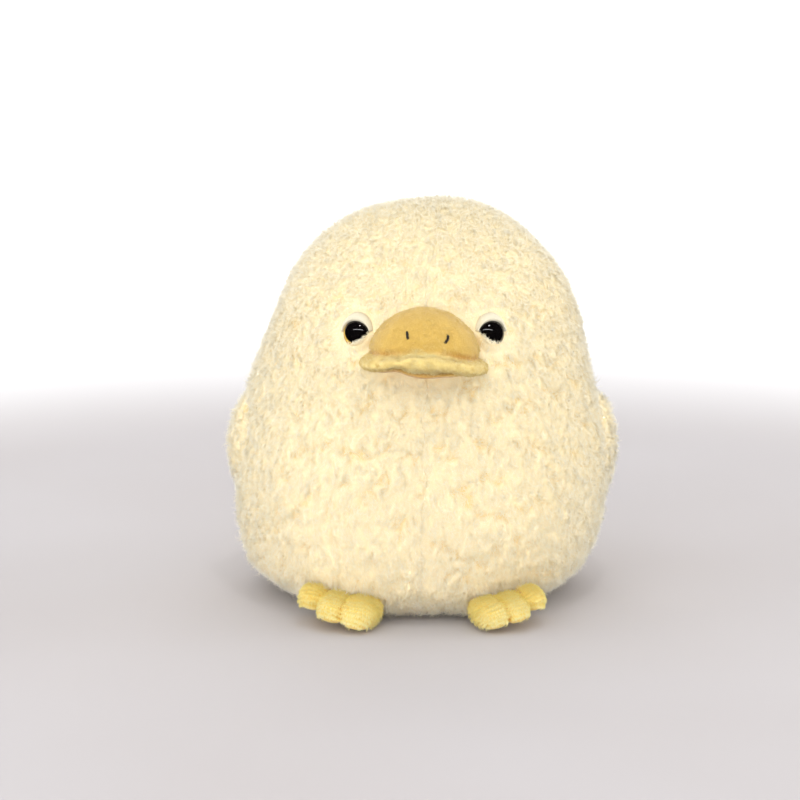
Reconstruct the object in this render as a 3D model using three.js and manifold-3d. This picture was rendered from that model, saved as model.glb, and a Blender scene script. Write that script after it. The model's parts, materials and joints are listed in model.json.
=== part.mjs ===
// Plush chick: a sherpa-fleece skin sewn from four gores and a base, stuffed over a pouch of pellets,
// with a velour bill, three-toed velour feet, sewn-on wings, a tail and moulded safety eyes.
// Millimetres, +Z up. The chick faces -Y and its own left side is +X.
// The origin is on the floor, under the middle of the base.
import * as THREE from "three";
import { mergeVertices } from "three/addons/utils/BufferGeometryUtils.js";
import Module from "manifold-3d";

// Body: one pear form whose outline runs from the base over the belly and the cheeks to the crown
const BODY_HEIGHT = 139;
const BASE_RADIUS = 40;
const BASE_ROUNDING = 16;
const BELLY_RADIUS = 63.5;
const BELLY_HEIGHT = 41;
const BELLY_FULLNESS_BELOW = 28;
const BELLY_FULLNESS_ABOVE = 22;
const BELLY_DEPTH_FRONT = 60;
const BELLY_DEPTH_BACK = 59;
const CHEEK_RADIUS = 51;
const CHEEK_HEIGHT = 103;
const CHEEK_LEAN = 0.29;
const CHEEK_FULLNESS_BELOW = 20;
const CHEEK_FULLNESS_ABOVE = 17;
const CROWN_FULLNESS = 26;
const SKIN_THICKNESS = 6;

// Clearance that every sewn or pressed seat keeps
const GAP = 0.3;

// Pellet pouch, which lies on the base inside the stuffing
const POUCH_RADIUS = 33;
const POUCH_HEIGHT = 27;
const POUCH_CLOTH = 0.9;
const POUCH_NECK_RADIUS = 5;
const POUCH_NECK_LENGTH = 6;

// Safety eyes: a domed bead with a ribbed post, and a push-on washer behind the skin
const EYE_SPACING = 45.2;
const EYE_HEIGHT = 99.6;
const EYE_DIAMETER = 10;
const EYE_DOME_HEIGHT = 4.6;
const EYE_FLANGE = 0.8;
const EYE_SINK = 2.4;
const POST_DIAMETER = 3.6;
const POST_LENGTH = 11;
const POST_RIB_HEIGHT = 0.25;
const POST_RIB_PITCH = 1.3;
const POST_RIB_COUNT = 3;
const POST_CLEARANCE = 0.15;
const WASHER_DIAMETER = 12;
const WASHER_THICKNESS = 1.3;
const WASHER_HUB_DIAMETER = 6.6;
const WASHER_HUB_HEIGHT = 0.9;
const WASHER_BITE = 0.8;

// Eyelids: a small padded hood over each bead
const LID_WIDTH = 12.6;
const LID_RISE = 8.2;
const LID_DEPTH = 5.6;
const LID_EDGE_HEIGHT = 3.3;

// Bill: a domed upper cover with a drooping rim, its stuffing, and a thin lower pad under it
const BILL_HEIGHT = 95;
const BILL_WIDTH = 43;
const BILL_REACH = 20;
const BILL_DOME_WIDTH = 36;
const BILL_DOME_REACH = 15.5;
const BILL_DOME_RISE = 15;
const BILL_RIM_THICKNESS = 8;
const BILL_RIM_DROP = 1;
const BILL_DROOP = 2.6;
const BILL_CLOTH = 1.6;
const LOWER_BILL_WIDTH = 36;
const LOWER_BILL_REACH = 18;
const LOWER_BILL_THICKNESS = 4.6;
const LOWER_BILL_DROP = 5;

// Nostrils: one bar of dark thread each, lying on the dome of the bill
const NOSTRIL_SPACING = 13;
const NOSTRIL_RISE = 6;
const NOSTRIL_LENGTH = 3.8;
const NOSTRIL_DIAMETER = 1.1;

// Feet: a stuffed instep and three toes over a flat sole, rolled a little so that the outer toe is raised
const FOOT_SPACING = 50.6;
const FOOT_LEAD = 9.5;
const FOOT_SPLAY = 20;
const FOOT_ROLL = 11;
const INSTEP_LENGTH = 20;
const INSTEP_WIDTH = 23;
const INSTEP_RISE = 5;
const TOE_LENGTH = 20;
const TOE_WIDTH = 10.8;
const TOE_HEIGHT = 10;
const TOE_FLATTENING = 0.4;
const TOE_PITCH = 8.8;
const TOE_ADVANCE = 13;
const TOE_LEAD = 2;
const SIDE_STEEPNESS = 2.2;
const FOOT_CLOTH = 1.4;
const SOLE_THICKNESS = 1.4;
const TOE_STITCH_DIAMETER = 0.8;
const TOE_STITCH_START = -0.35;
const TOE_STITCH_END = 0.4;

// Wings: padded teardrops that lie against the sides, lined where they touch the body
const WING_HEIGHT = 49;
const WING_SETBACK = 5;
const WING_LENGTH = 44;
const WING_WIDTH = 31;
const WING_DEPTH = 16;
const WING_SINK = 3;
const WING_TAPER = 0.28;
const WING_TILT = 24;
const WING_LINING = 1.4;

// Tail: a short stuffed nub on the back seam
const TAIL_HEIGHT = 39;
const TAIL_WIDTH = 24;
const TAIL_REACH = 15;
const TAIL_THICKNESS = 17;
const TAIL_TILT = 32;

// Facet counts
const BODY_SEGMENTS = 36;
const ARC_STEPS = 6;
const LATHE_SEGMENTS = 16;
const PAD_SEGMENTS = 16;
const PAD_RINGS = 8;
const THREAD_SIDES = 6;
const THREAD_STEPS = 6;

const wasm = await Module();
wasm.setup();

const degrees = Math.PI / 180;
const huge = 4 * (BODY_HEIGHT + BELLY_RADIUS);

// Solids and geometry

function solid(geometry) {
  const bare = geometry.clone();
  bare.deleteAttribute("normal");
  bare.deleteAttribute("uv");
  const welded = mergeVertices(bare, 1e-4);
  return new wasm.Manifold(
    new wasm.Mesh({
      numProp: 3,
      vertProperties: new Float32Array(welded.attributes.position.array),
      triVerts: new Uint32Array(welded.index.array),
    }),
  );
}

function geometryOf(manifold) {
  const mesh = manifold.getMesh();
  const geometry = new THREE.BufferGeometry();
  geometry.setAttribute("position", new THREE.BufferAttribute(mesh.vertProperties, 3));
  geometry.setIndex(new THREE.BufferAttribute(mesh.triVerts, 1));
  geometry.computeVertexNormals();
  return geometry;
}

// A box between two corners
function block(low, high) {
  const box = new THREE.BoxGeometry(high[0] - low[0], high[1] - low[1], high[2] - low[2]);
  box.translate((low[0] + high[0]) / 2, (low[1] + high[1]) / 2, (low[2] + high[2]) / 2);
  return solid(box);
}

// An ellipsoid pad, bent by an optional function of its points and then placed
function pad(halfX, halfY, halfZ, place = new THREE.Matrix4(), bend = null) {
  const form = new THREE.SphereGeometry(1, PAD_SEGMENTS, PAD_RINGS);
  form.rotateX(Math.PI / 2);
  form.scale(halfX, halfY, halfZ);
  if (bend) eachPoint(form, bend);
  form.applyMatrix4(place);
  return solid(form);
}

function eachPoint(geometry, change) {
  const position = geometry.attributes.position;
  const point = new THREE.Vector3();
  for (let i = 0; i < position.count; i++) {
    point.fromBufferAttribute(position, i);
    change(point);
    position.setXYZ(i, point.x, point.y, point.z);
  }
}

// A solid of revolution about +Z, from [radius, height] points listed upwards on its outside
function revolved(points, place = new THREE.Matrix4(), segments = LATHE_SEGMENTS) {
  const outline = points.map(([radius, height]) => new THREE.Vector2(radius, height));
  const lathe = new THREE.LatheGeometry(outline, segments);
  lathe.rotateX(Math.PI / 2);
  lathe.applyMatrix4(place);
  return solid(lathe);
}

// A round thread along a curve
function thread(curve, diameter) {
  const round = new THREE.Shape();
  round.absarc(0, 0, diameter / 2, 0, 2 * Math.PI);
  return solid(
    new THREE.ExtrudeGeometry(round, {
      steps: THREAD_STEPS,
      curveSegments: THREAD_SIDES / 2,
      extrudePath: curve,
    }),
  );
}

// Body form

const baseEdge = new THREE.Vector2(BASE_RADIUS, 0);
const belly = new THREE.Vector2(BELLY_RADIUS, BELLY_HEIGHT);
const cheek = new THREE.Vector2(CHEEK_RADIUS, CHEEK_HEIGHT);
const crown = new THREE.Vector2(0, BODY_HEIGHT);
const outlineArcs = [
  new THREE.LineCurve(new THREE.Vector2(0, 0), baseEdge),
  new THREE.CubicBezierCurve(
    baseEdge,
    new THREE.Vector2(BASE_RADIUS + BASE_ROUNDING, 0),
    new THREE.Vector2(BELLY_RADIUS, BELLY_HEIGHT - BELLY_FULLNESS_BELOW),
    belly,
  ),
  new THREE.CubicBezierCurve(
    belly,
    new THREE.Vector2(BELLY_RADIUS, BELLY_HEIGHT + BELLY_FULLNESS_ABOVE),
    new THREE.Vector2(
      CHEEK_RADIUS + CHEEK_LEAN * CHEEK_FULLNESS_BELOW,
      CHEEK_HEIGHT - CHEEK_FULLNESS_BELOW,
    ),
    cheek,
  ),
  new THREE.CubicBezierCurve(
    cheek,
    new THREE.Vector2(
      CHEEK_RADIUS - CHEEK_LEAN * CHEEK_FULLNESS_ABOVE,
      CHEEK_HEIGHT + CHEEK_FULLNESS_ABOVE,
    ),
    new THREE.Vector2(CROWN_FULLNESS, BODY_HEIGHT),
    crown,
  ),
];

// Depth over width, which differs between the front and the back
function depthShare(y) {
  return (y < 0 ? BELLY_DEPTH_FRONT : BELLY_DEPTH_BACK) / BELLY_RADIUS;
}

// The whole body, grown outwards by an offset or shrunk by a negative one
function bodyForm(offset) {
  const points = [];
  for (const arc of outlineArcs) {
    const steps = arc.isLineCurve ? 1 : ARC_STEPS;
    for (let i = points.length ? 1 : 0; i <= steps; i++) {
      const point = arc.getPoint(i / steps);
      const along = arc.getTangent(i / steps);
      const onAxis = point.x < 1e-6;
      points.push([
        onAxis ? 0 : Math.max(point.x + along.y * offset, 0.5),
        point.y - along.x * offset,
      ]);
    }
  }
  const outline = points.map(([radius, height]) => new THREE.Vector2(radius, height));
  const lathe = new THREE.LatheGeometry(outline, BODY_SEGMENTS);
  lathe.rotateX(Math.PI / 2);
  eachPoint(lathe, (point) => {
    point.y *= depthShare(point.y);
  });
  return solid(lathe);
}

// Radius of the body's outline at a height, and how fast it grows upwards there
function outlineAt(height) {
  const arc = outlineArcs.slice(1).find((part) => part.getPoint(1).y >= height);
  let low = 0;
  let high = 1;
  for (let i = 0; i < 40; i++) {
    const middle = (low + high) / 2;
    if (arc.getPoint(middle).y < height) low = middle;
    else high = middle;
  }
  const along = arc.getTangent(low);
  return { radius: arc.getPoint(low).x, growth: along.x / along.y };
}

// A point of the skin at a given x and height, on the front (-1) or the back (1), with its outward normal
function skinAt(x, height, facing) {
  const { radius, growth } = outlineAt(height);
  const share = depthShare(facing);
  const y = facing * share * Math.sqrt(radius * radius - x * x);
  const normal = new THREE.Vector3(x, y / (share * share), -radius * growth).normalize();
  return { point: new THREE.Vector3(x, y, height), normal };
}

const body = bodyForm(0);
const bodyKeepout = bodyForm(GAP);
const bodyInside = bodyForm(-SKIN_THICKNESS);

// Eyes

const eyeSeat = skinAt(EYE_SPACING / 2, EYE_HEIGHT, -1);

// The eye's own frame: +Z out of the skin, +Y up the face
function eyeFrame() {
  const out = eyeSeat.normal;
  const across = new THREE.Vector3(0, 0, 1).cross(out).normalize();
  const up = new THREE.Vector3().crossVectors(out, across);
  const frame = new THREE.Matrix4().makeBasis(across, up, out);
  return frame.setPosition(eyeSeat.point);
}

const eyePlace = eyeFrame();
const eyeRadius = EYE_DIAMETER / 2;
const eyeFloor = -EYE_SINK + GAP;
const postRadius = POST_DIAMETER / 2;
const postEnd = eyeFloor - POST_LENGTH;
const washerTop = -SKIN_THICKNESS + WASHER_BITE;
const washerBottom = washerTop - WASHER_THICKNESS;
const washerBore = postRadius + POST_RIB_HEIGHT + POST_CLEARANCE;

function eyeBead() {
  const outline = [[0, postEnd], [postRadius - POST_RIB_HEIGHT, postEnd]];
  const ribsStart = postEnd + POST_RIB_PITCH;
  for (let i = 0; i < POST_RIB_COUNT; i++) {
    const rib = ribsStart + i * POST_RIB_PITCH;
    outline.push([postRadius, rib], [postRadius + POST_RIB_HEIGHT, rib]);
    outline.push([postRadius, rib + POST_RIB_PITCH / 2]);
  }
  outline.push([postRadius, eyeFloor], [eyeRadius, eyeFloor]);
  const domeFoot = eyeFloor + EYE_FLANGE;
  for (let i = 0; i < ARC_STEPS; i++) {
    const turn = (i / ARC_STEPS) * (Math.PI / 2);
    outline.push([eyeRadius * Math.cos(turn), domeFoot + EYE_DOME_HEIGHT * Math.sin(turn)]);
  }
  outline.push([0, domeFoot + EYE_DOME_HEIGHT]);
  return revolved(outline, eyePlace);
}

function eyeWasher() {
  const rim = WASHER_DIAMETER / 2;
  const hub = WASHER_HUB_DIAMETER / 2;
  const hubBottom = washerBottom - WASHER_HUB_HEIGHT;
  const outline = [
    [washerBore, hubBottom],
    [hub, hubBottom],
    [hub, washerBottom],
    [rim, washerBottom],
    [rim, washerTop],
    [washerBore, washerTop],
    [washerBore, hubBottom],
  ];
  return revolved(outline, eyePlace);
}

// A plain round plug in the eye's frame, used to cut the pieces that the eye passes through
function eyePlug(radius, bottom, top) {
  return revolved([[0, bottom], [radius, bottom], [radius, top], [0, top]], eyePlace);
}

const lidCentre = LID_RISE / 2;

function lidForm(grown) {
  const place = eyePlace.clone();
  place.multiply(new THREE.Matrix4().makeTranslation(0, lidCentre, eyeFloor));
  return pad(LID_WIDTH / 2 + grown, lidCentre + grown, LID_DEPTH + grown, place);
}

function eyelid() {
  const beadRoom = pad(
    eyeRadius + GAP,
    eyeRadius + GAP,
    EYE_DOME_HEIGHT + GAP,
    eyePlace.clone().multiply(new THREE.Matrix4().makeTranslation(0, 0, eyeFloor + EYE_FLANGE)),
  );
  const flangeRoom = eyePlug(eyeRadius + GAP, eyeFloor - GAP, eyeFloor + EYE_FLANGE);
  const aboveEdge = new THREE.BoxGeometry(huge, huge, huge);
  aboveEdge.translate(0, LID_EDGE_HEIGHT + huge / 2, eyeFloor + huge / 2);
  aboveEdge.applyMatrix4(eyePlace);
  return lidForm(0).intersect(solid(aboveEdge)).subtract(beadRoom).subtract(flangeRoom);
}

const eyePocket = eyePlug(eyeRadius + GAP, -EYE_SINK, huge / 8).add(lidForm(GAP));
const eyePostRoom = eyePlug(postRadius + POST_RIB_HEIGHT + POST_CLEARANCE, postEnd - GAP, 0);
const eyeWasherRoom = eyePlug(
  WASHER_DIAMETER / 2 + GAP,
  washerBottom - WASHER_HUB_HEIGHT - GAP,
  washerTop + GAP,
);

function mirrored(manifold) {
  const flipped = geometryOf(manifold);
  flipped.scale(-1, 1, 1);
  const index = flipped.index.array;
  for (let i = 0; i < index.length; i += 3) {
    [index[i + 1], index[i + 2]] = [index[i + 2], index[i + 1]];
  }
  return solid(flipped);
}

// Skin: the shell between the body form and the stuffing, cut along its seams

const shell = body.subtract(bodyInside);

function basePanel() {
  return body.intersect(block([-huge, -huge, -huge], [huge, huge, SKIN_THICKNESS]));
}

// The left gore at the front (-1) or the back (1)
function gore(facing) {
  const low = [GAP / 2, facing < 0 ? -huge : GAP / 2, SKIN_THICKNESS + GAP];
  const high = [huge, facing < 0 ? -GAP / 2 : huge, huge];
  return shell.intersect(block(low, high));
}

function frontGore() {
  return gore(-1).subtract(eyePocket).subtract(eyePostRoom).subtract(eyeWasherRoom);
}

// Stuffing and the pellet pouch

const pouchFloor = SKIN_THICKNESS + GAP;

// Outline of the pouch up to its gathered neck, shrunk by the cloth for its inside
function pouchOutline(shrunk) {
  const radius = POUCH_RADIUS - shrunk;
  const bottom = pouchFloor + shrunk;
  const half = (POUCH_HEIGHT - 2 * shrunk) / 2;
  const flat = radius / 2;
  const neck = POUCH_NECK_RADIUS - shrunk;
  const points = [[flat, bottom]];
  for (let i = 1; i < 2 * ARC_STEPS; i++) {
    const turn = -Math.PI / 2 + (i / (2 * ARC_STEPS)) * Math.PI;
    const wide = i < ARC_STEPS ? flat : neck;
    const reach = wide + (radius - wide) * Math.cos(turn);
    points.push([reach, bottom + half + half * Math.sin(turn)]);
  }
  points.push([neck, bottom + 2 * half]);
  return points;
}

function pouchCloth() {
  const top = pouchFloor + POUCH_HEIGHT + POUCH_NECK_LENGTH;
  const outside = [[0, pouchFloor], ...pouchOutline(0), [POUCH_NECK_RADIUS, top]];
  const inside = pouchOutline(POUCH_CLOTH).reverse();
  const mouth = [POUCH_NECK_RADIUS - POUCH_CLOTH, top];
  return revolved([...outside, mouth, ...inside, [0, pouchFloor + POUCH_CLOTH]]);
}

function pelletFill() {
  const outline = pouchOutline(POUCH_CLOTH + GAP);
  const [, top] = outline[outline.length - 1];
  return revolved([[0, pouchFloor + POUCH_CLOTH + GAP], ...outline, [0, top]]);
}

function pouchRoom() {
  const top = pouchFloor + POUCH_HEIGHT + POUCH_NECK_LENGTH + GAP;
  const outline = pouchOutline(-GAP);
  return revolved([[0, -GAP], [outline[0][0], -GAP], ...outline, [POUCH_NECK_RADIUS + GAP, top], [0, top]]);
}

function stuffing() {
  let form = bodyForm(-SKIN_THICKNESS - GAP).subtract(pouchRoom());
  const eyeRoom = eyePostRoom.add(eyeWasherRoom);
  form = form.subtract(eyeRoom).subtract(mirrored(eyeRoom));
  return form;
}

// Bill

const billSeat = skinAt(0, BILL_HEIGHT, -1).point;

function drooped(halfWidth) {
  return (point) => {
    point.z -= BILL_DROOP * (point.x / halfWidth) ** 2;
  };
}

// The upper bill grown by an offset: a dome over a rounded, drooping rim
function billForm(offset) {
  const seat = new THREE.Matrix4().setPosition(billSeat);
  const dome = pad(
    BILL_DOME_WIDTH / 2 + offset,
    BILL_DOME_REACH + offset,
    BILL_DOME_RISE + offset,
    seat,
  );
  const underside = billSeat.z - BILL_RIM_DROP;
  const upperHalf = block([-huge, -huge, underside], [huge, huge, huge]);
  const rimPlace = seat.clone().setPosition(billSeat.x, billSeat.y, underside);
  const rim = pad(
    BILL_WIDTH / 2 + offset,
    BILL_REACH + offset,
    BILL_RIM_THICKNESS / 2 + offset,
    rimPlace,
    drooped(BILL_WIDTH / 2),
  );
  return dome.intersect(upperHalf).add(rim);
}

function upperBill() {
  return billForm(0).subtract(billForm(-BILL_CLOTH)).subtract(bodyKeepout);
}

function billStuffing() {
  return billForm(-BILL_CLOTH - GAP).subtract(bodyKeepout);
}

function lowerBill() {
  const place = new THREE.Matrix4();
  place.setPosition(billSeat.x, billSeat.y, billSeat.z - LOWER_BILL_DROP);
  const form = pad(
    LOWER_BILL_WIDTH / 2,
    LOWER_BILL_REACH,
    LOWER_BILL_THICKNESS / 2,
    place,
    drooped(BILL_WIDTH / 2),
  );
  return form.subtract(billForm(GAP)).subtract(bodyKeepout);
}

function nostril() {
  const across = NOSTRIL_SPACING / 2;
  const half = NOSTRIL_LENGTH / 2;
  const points = [-1, 0, 1].map((step) => {
    const rise = NOSTRIL_RISE + step * half;
    const widthShare = across / (BILL_DOME_WIDTH / 2);
    const riseShare = rise / BILL_DOME_RISE;
    const reach = BILL_DOME_REACH * Math.sqrt(1 - widthShare ** 2 - riseShare ** 2);
    const out = new THREE.Vector3(
      across / (BILL_DOME_WIDTH / 2) ** 2,
      -reach / BILL_DOME_REACH ** 2,
      rise / BILL_DOME_RISE ** 2,
    ).normalize();
    const onDome = new THREE.Vector3(across, -reach, rise).add(billSeat);
    return onDome.addScaledVector(out, NOSTRIL_DIAMETER / 2 + GAP);
  });
  return thread(new THREE.CatmullRomCurve3(points), NOSTRIL_DIAMETER);
}

// Feet

const footEdge = TOE_PITCH + TOE_WIDTH / 2;
const heelX = FOOT_SPACING / 2;
const baseFront = -depthShare(-1) * Math.sqrt(BASE_RADIUS ** 2 - heelX ** 2);
const footPlace = new THREE.Matrix4().makeTranslation(heelX, baseFront - FOOT_LEAD, 0);
footPlace.multiply(new THREE.Matrix4().makeRotationZ(FOOT_SPLAY * degrees));
footPlace.multiply(new THREE.Matrix4().makeTranslation(-footEdge, 0, 0));
footPlace.multiply(new THREE.Matrix4().makeRotationY(-FOOT_ROLL * degrees));
footPlace.multiply(new THREE.Matrix4().makeTranslation(footEdge, 0, 0));

// The lobes of a foot in its own frame: the heel is at zero and the toes point along -Y
const lobeMiddle = TOE_HEIGHT * TOE_FLATTENING;
const instep = {
  x: 0,
  forward: INSTEP_LENGTH / 2,
  halfX: INSTEP_WIDTH / 2,
  halfY: INSTEP_LENGTH / 2,
  rise: INSTEP_RISE,
};
const lobes = [instep];
for (const toe of [-1, 0, 1]) {
  lobes.push({
    x: toe * TOE_PITCH,
    forward: TOE_ADVANCE + (toe === 0 ? TOE_LEAD : 0),
    halfX: TOE_WIDTH / 2,
    halfY: TOE_LENGTH / 2,
    rise: TOE_HEIGHT - lobeMiddle,
  });
}

// The foot grown by an offset, steeper below its widest line than above it
function footForm(offset) {
  const steepen = (point) => {
    if (point.z < 0) point.z *= SIDE_STEEPNESS;
  };
  const shapes = lobes.map((lobe) => {
    const place = footPlace.clone();
    place.multiply(new THREE.Matrix4().makeTranslation(lobe.x, -lobe.forward, lobeMiddle));
    return pad(lobe.halfX + offset, lobe.halfY + offset, lobe.rise + offset, place, steepen);
  });
  return shapes.reduce((form, shape) => form.add(shape));
}

// Everything between two heights over the sole
function footLayer(low, high) {
  const layer = new THREE.BoxGeometry(huge, huge, high - low);
  layer.translate(0, 0, (low + high) / 2);
  layer.applyMatrix4(footPlace);
  return solid(layer);
}

function footUpper() {
  const cover = footForm(0).subtract(footForm(-FOOT_CLOTH));
  return cover.intersect(footLayer(SOLE_THICKNESS + GAP, huge)).subtract(bodyKeepout);
}

function footSole() {
  return footForm(0).intersect(footLayer(0, SOLE_THICKNESS)).subtract(bodyKeepout);
}

function footStuffing() {
  const fill = footForm(-FOOT_CLOTH - GAP);
  return fill.intersect(footLayer(SOLE_THICKNESS + GAP, huge)).subtract(bodyKeepout);
}

// How high the middle of a thread must lie to rest clear of one lobe
function restingHeight(lobe, x, forward) {
  const sideways = (x - lobe.x) / lobe.halfX;
  const along = (forward - lobe.forward) / lobe.halfY;
  const rest = Math.sqrt(Math.max(1 - sideways ** 2 - along ** 2, 0.01));
  const slope = (lobe.rise * Math.hypot(sideways / lobe.halfX, along / lobe.halfY)) / rest;
  return lobeMiddle + lobe.rise * rest + (TOE_STITCH_DIAMETER / 2 + GAP) * Math.sqrt(1 + slope ** 2);
}

// The thread that draws down the crease on one side of the middle toe
function toeStitch(side) {
  const x = (side * TOE_PITCH) / 2;
  const near = lobes.filter((lobe) => Math.abs(x - lobe.x) < lobe.halfX);
  const points = [];
  for (let i = 0; i <= THREAD_STEPS; i++) {
    const share = TOE_STITCH_START + (TOE_STITCH_END - TOE_STITCH_START) * (i / THREAD_STEPS);
    const forward = TOE_ADVANCE + (share * TOE_LENGTH) / 2;
    const height = Math.max(...near.map((lobe) => restingHeight(lobe, x, forward)));
    points.push(new THREE.Vector3(x, -forward, height).applyMatrix4(footPlace));
  }
  return thread(new THREE.CatmullRomCurve3(points), TOE_STITCH_DIAMETER).subtract(bodyKeepout);
}

// Wings

const wingSide = outlineAt(WING_HEIGHT);
const wingPlace = new THREE.Matrix4().makeRotationX(WING_TILT * degrees);
wingPlace.setPosition(wingSide.radius - WING_SINK, WING_SETBACK, WING_HEIGHT);

function wingForm() {
  const taper = (point) => {
    point.y *= 1 + WING_TAPER * (point.z / (WING_LENGTH / 2));
  };
  return pad(WING_DEPTH / 2, WING_WIDTH / 2, WING_LENGTH / 2, wingPlace, taper);
}

const liningOutside = bodyForm(GAP + WING_LINING);
const wingInside = bodyForm(GAP + WING_LINING + GAP);

function wingOuter() {
  return wingForm().subtract(wingInside);
}

function wingLining() {
  return wingForm().intersect(liningOutside).subtract(bodyKeepout);
}

// Tail

function tail() {
  const seat = skinAt(0, TAIL_HEIGHT, 1).point;
  const place = new THREE.Matrix4().makeRotationX(TAIL_TILT * degrees).setPosition(seat);
  return pad(TAIL_WIDTH / 2, TAIL_REACH, TAIL_THICKNESS / 2, place).subtract(bodyKeepout);
}

// Materials

function finish(color, roughness) {
  return new THREE.MeshStandardMaterial({ color, roughness, metalness: 0 });
}

const fleece = finish(0xf7ebc8, 0.95);
const billVelour = finish(0xe8c468, 0.85);
const footVelour = finish(0xf3d56a, 0.85);
const lidCloth = finish(0xf4f0dc, 0.8);
const beadPlastic = finish(0x0b0907, 0.08);
const washerPlastic = finish(0xe8e6e0, 0.4);
const darkThread = finish(0x2c2a22, 0.7);
const yellowThread = finish(0xd9b04a, 0.8);
const fibreFill = finish(0xf8f8f6, 1);
const pouchCotton = finish(0xe9e4d8, 0.9);
const pellets = finish(0xd8dce0, 0.5);

// Assembly

function piece(name, manifold, material) {
  const mesh = new THREE.Mesh(geometryOf(manifold), material);
  mesh.name = name;
  return mesh;
}

const leftPieces = [
  ["front_gore", frontGore(), fleece],
  ["back_gore", gore(1), fleece],
  ["eye", eyeBead(), beadPlastic],
  ["eye_washer", eyeWasher(), washerPlastic],
  ["eyelid", eyelid(), lidCloth],
  ["nostril_stitch", nostril(), darkThread],
  ["wing", wingOuter(), fleece],
  ["wing_lining", wingLining(), fleece],
  ["foot_upper", footUpper(), footVelour],
  ["foot_sole", footSole(), footVelour],
  ["foot_stuffing", footStuffing(), fibreFill],
  ["inner_toe_stitch", toeStitch(-1), yellowThread],
  ["outer_toe_stitch", toeStitch(1), yellowThread],
];

const chick = new THREE.Group();
for (const [side, sign] of [["left", 1], ["right", -1]]) {
  const half = new THREE.Group();
  half.scale.x = sign;
  for (const [name, manifold, material] of leftPieces) {
    half.add(piece(`${side}_${name}`, manifold, material));
  }
  chick.add(half);
}
chick.add(piece("base_panel", basePanel(), fleece));
chick.add(piece("stuffing", stuffing(), fibreFill));
chick.add(piece("pellet_pouch", pouchCloth(), pouchCotton));
chick.add(piece("pellet_fill", pelletFill(), pellets));
chick.add(piece("upper_bill", upperBill(), billVelour));
chick.add(piece("bill_stuffing", billStuffing(), fibreFill));
chick.add(piece("lower_bill", lowerBill(), billVelour));
chick.add(piece("tail", tail(), fleece));

export default chick;
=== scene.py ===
import json
import math

import bmesh
import bpy
import numpy as np
from mathutils import Matrix, Vector
from mathutils.bvhtree import BVHTree
from mathutils.kdtree import KDTree


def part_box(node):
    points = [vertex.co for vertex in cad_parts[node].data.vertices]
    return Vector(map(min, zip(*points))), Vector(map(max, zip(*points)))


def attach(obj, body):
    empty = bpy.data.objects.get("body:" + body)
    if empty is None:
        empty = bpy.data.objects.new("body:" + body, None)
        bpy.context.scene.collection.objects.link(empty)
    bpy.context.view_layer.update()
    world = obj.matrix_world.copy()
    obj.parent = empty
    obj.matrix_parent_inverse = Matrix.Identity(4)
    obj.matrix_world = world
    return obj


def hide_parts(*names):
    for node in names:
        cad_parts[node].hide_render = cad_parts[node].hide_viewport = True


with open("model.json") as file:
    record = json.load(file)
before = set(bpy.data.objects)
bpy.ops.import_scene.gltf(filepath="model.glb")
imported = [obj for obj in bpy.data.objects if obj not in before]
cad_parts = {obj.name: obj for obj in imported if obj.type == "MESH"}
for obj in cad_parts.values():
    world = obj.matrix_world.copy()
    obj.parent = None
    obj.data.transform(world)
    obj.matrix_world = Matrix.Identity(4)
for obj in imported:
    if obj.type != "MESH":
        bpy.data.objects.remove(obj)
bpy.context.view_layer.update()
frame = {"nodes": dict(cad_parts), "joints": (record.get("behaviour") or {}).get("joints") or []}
mm = 0.001
up = np.array([0.0, 0.0, 1.0])
sides = {"left": 1, "right": -1}  # the chick's own left is at +X
joints = {joint["name"]: joint for joint in frame["joints"]}

# numbers on surfaces


def unit(vectors):
    return vectors / np.maximum(np.linalg.norm(vectors, axis=-1, keepdims=True), 1e-12)


def dot(a, b):
    return (a * b).sum(-1, keepdims=True)


def ease(low, high, value):
    share = np.clip((value - low) / (high - low), 0, 1)
    return share * share * (3 - 2 * share)


def hump(value, middle, width):
    return np.exp(-(((value - middle) / width) ** 2))


def ripple(points, size, seed, waves=10):  # smooth noise of about unit strength, with lumps of that size
    rng = np.random.default_rng(seed)
    heading = unit(rng.normal(size=(waves, 3)))
    wavelength = 2 * size * rng.uniform(0.7, 1.6, waves)
    phase = rng.uniform(0, 2 * math.pi, waves)
    angle = points @ (heading * (2 * math.pi / wavelength)[:, None]).T + phase
    return np.sin(angle).sum(-1) * math.sqrt(2 / waves)


def drift(points, size, seed):  # the same noise as a vector
    return np.stack([ripple(points, size, seed + k) for k in range(3)], -1)


# meshes


def meshFrom(name, points, faceSets):
    faceSets = [np.asarray(f, np.int32) for f in faceSets if len(f)]
    corners = np.concatenate([f.ravel() for f in faceSets])
    sizes = np.concatenate([np.full(len(f), f.shape[1]) for f in faceSets])
    starts = np.concatenate([[0], np.cumsum(sizes)[:-1]])
    mesh = bpy.data.meshes.new(name)
    mesh.vertices.add(len(points))
    mesh.vertices.foreach_set("co", np.asarray(points, np.float32).ravel())
    mesh.loops.add(len(corners))
    mesh.loops.foreach_set("vertex_index", corners)
    mesh.polygons.add(len(sizes))
    mesh.polygons.foreach_set("loop_start", starts.astype(np.int32))
    mesh.polygons.foreach_set("use_smooth", np.ones(len(sizes), bool))
    mesh.update(calc_edges=True)
    mesh.validate()
    return mesh


def ringGrid(rows, columns, first=0):  # numbers of the points in stacked rings, and the faces between
    index = first + np.arange(rows * columns).reshape(rows, columns)
    after = np.roll(index, -1, axis=1)
    return index, np.stack([index[:-1], after[:-1], after[1:], index[1:]], -1).reshape(-1, 4)


def turnedOver(quads):
    return quads[:, [0, 3, 2, 1]]


def circle(count):
    return np.linspace(0, 2 * math.pi, count, endpoint=False)


def seedOf(name):
    return sum(map(ord, name))


def pointsOf(mesh):
    flat = np.empty(len(mesh.vertices) * 3, np.float32)
    mesh.vertices.foreach_get("co", flat)
    return flat.reshape(-1, 3).astype(float)


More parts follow.
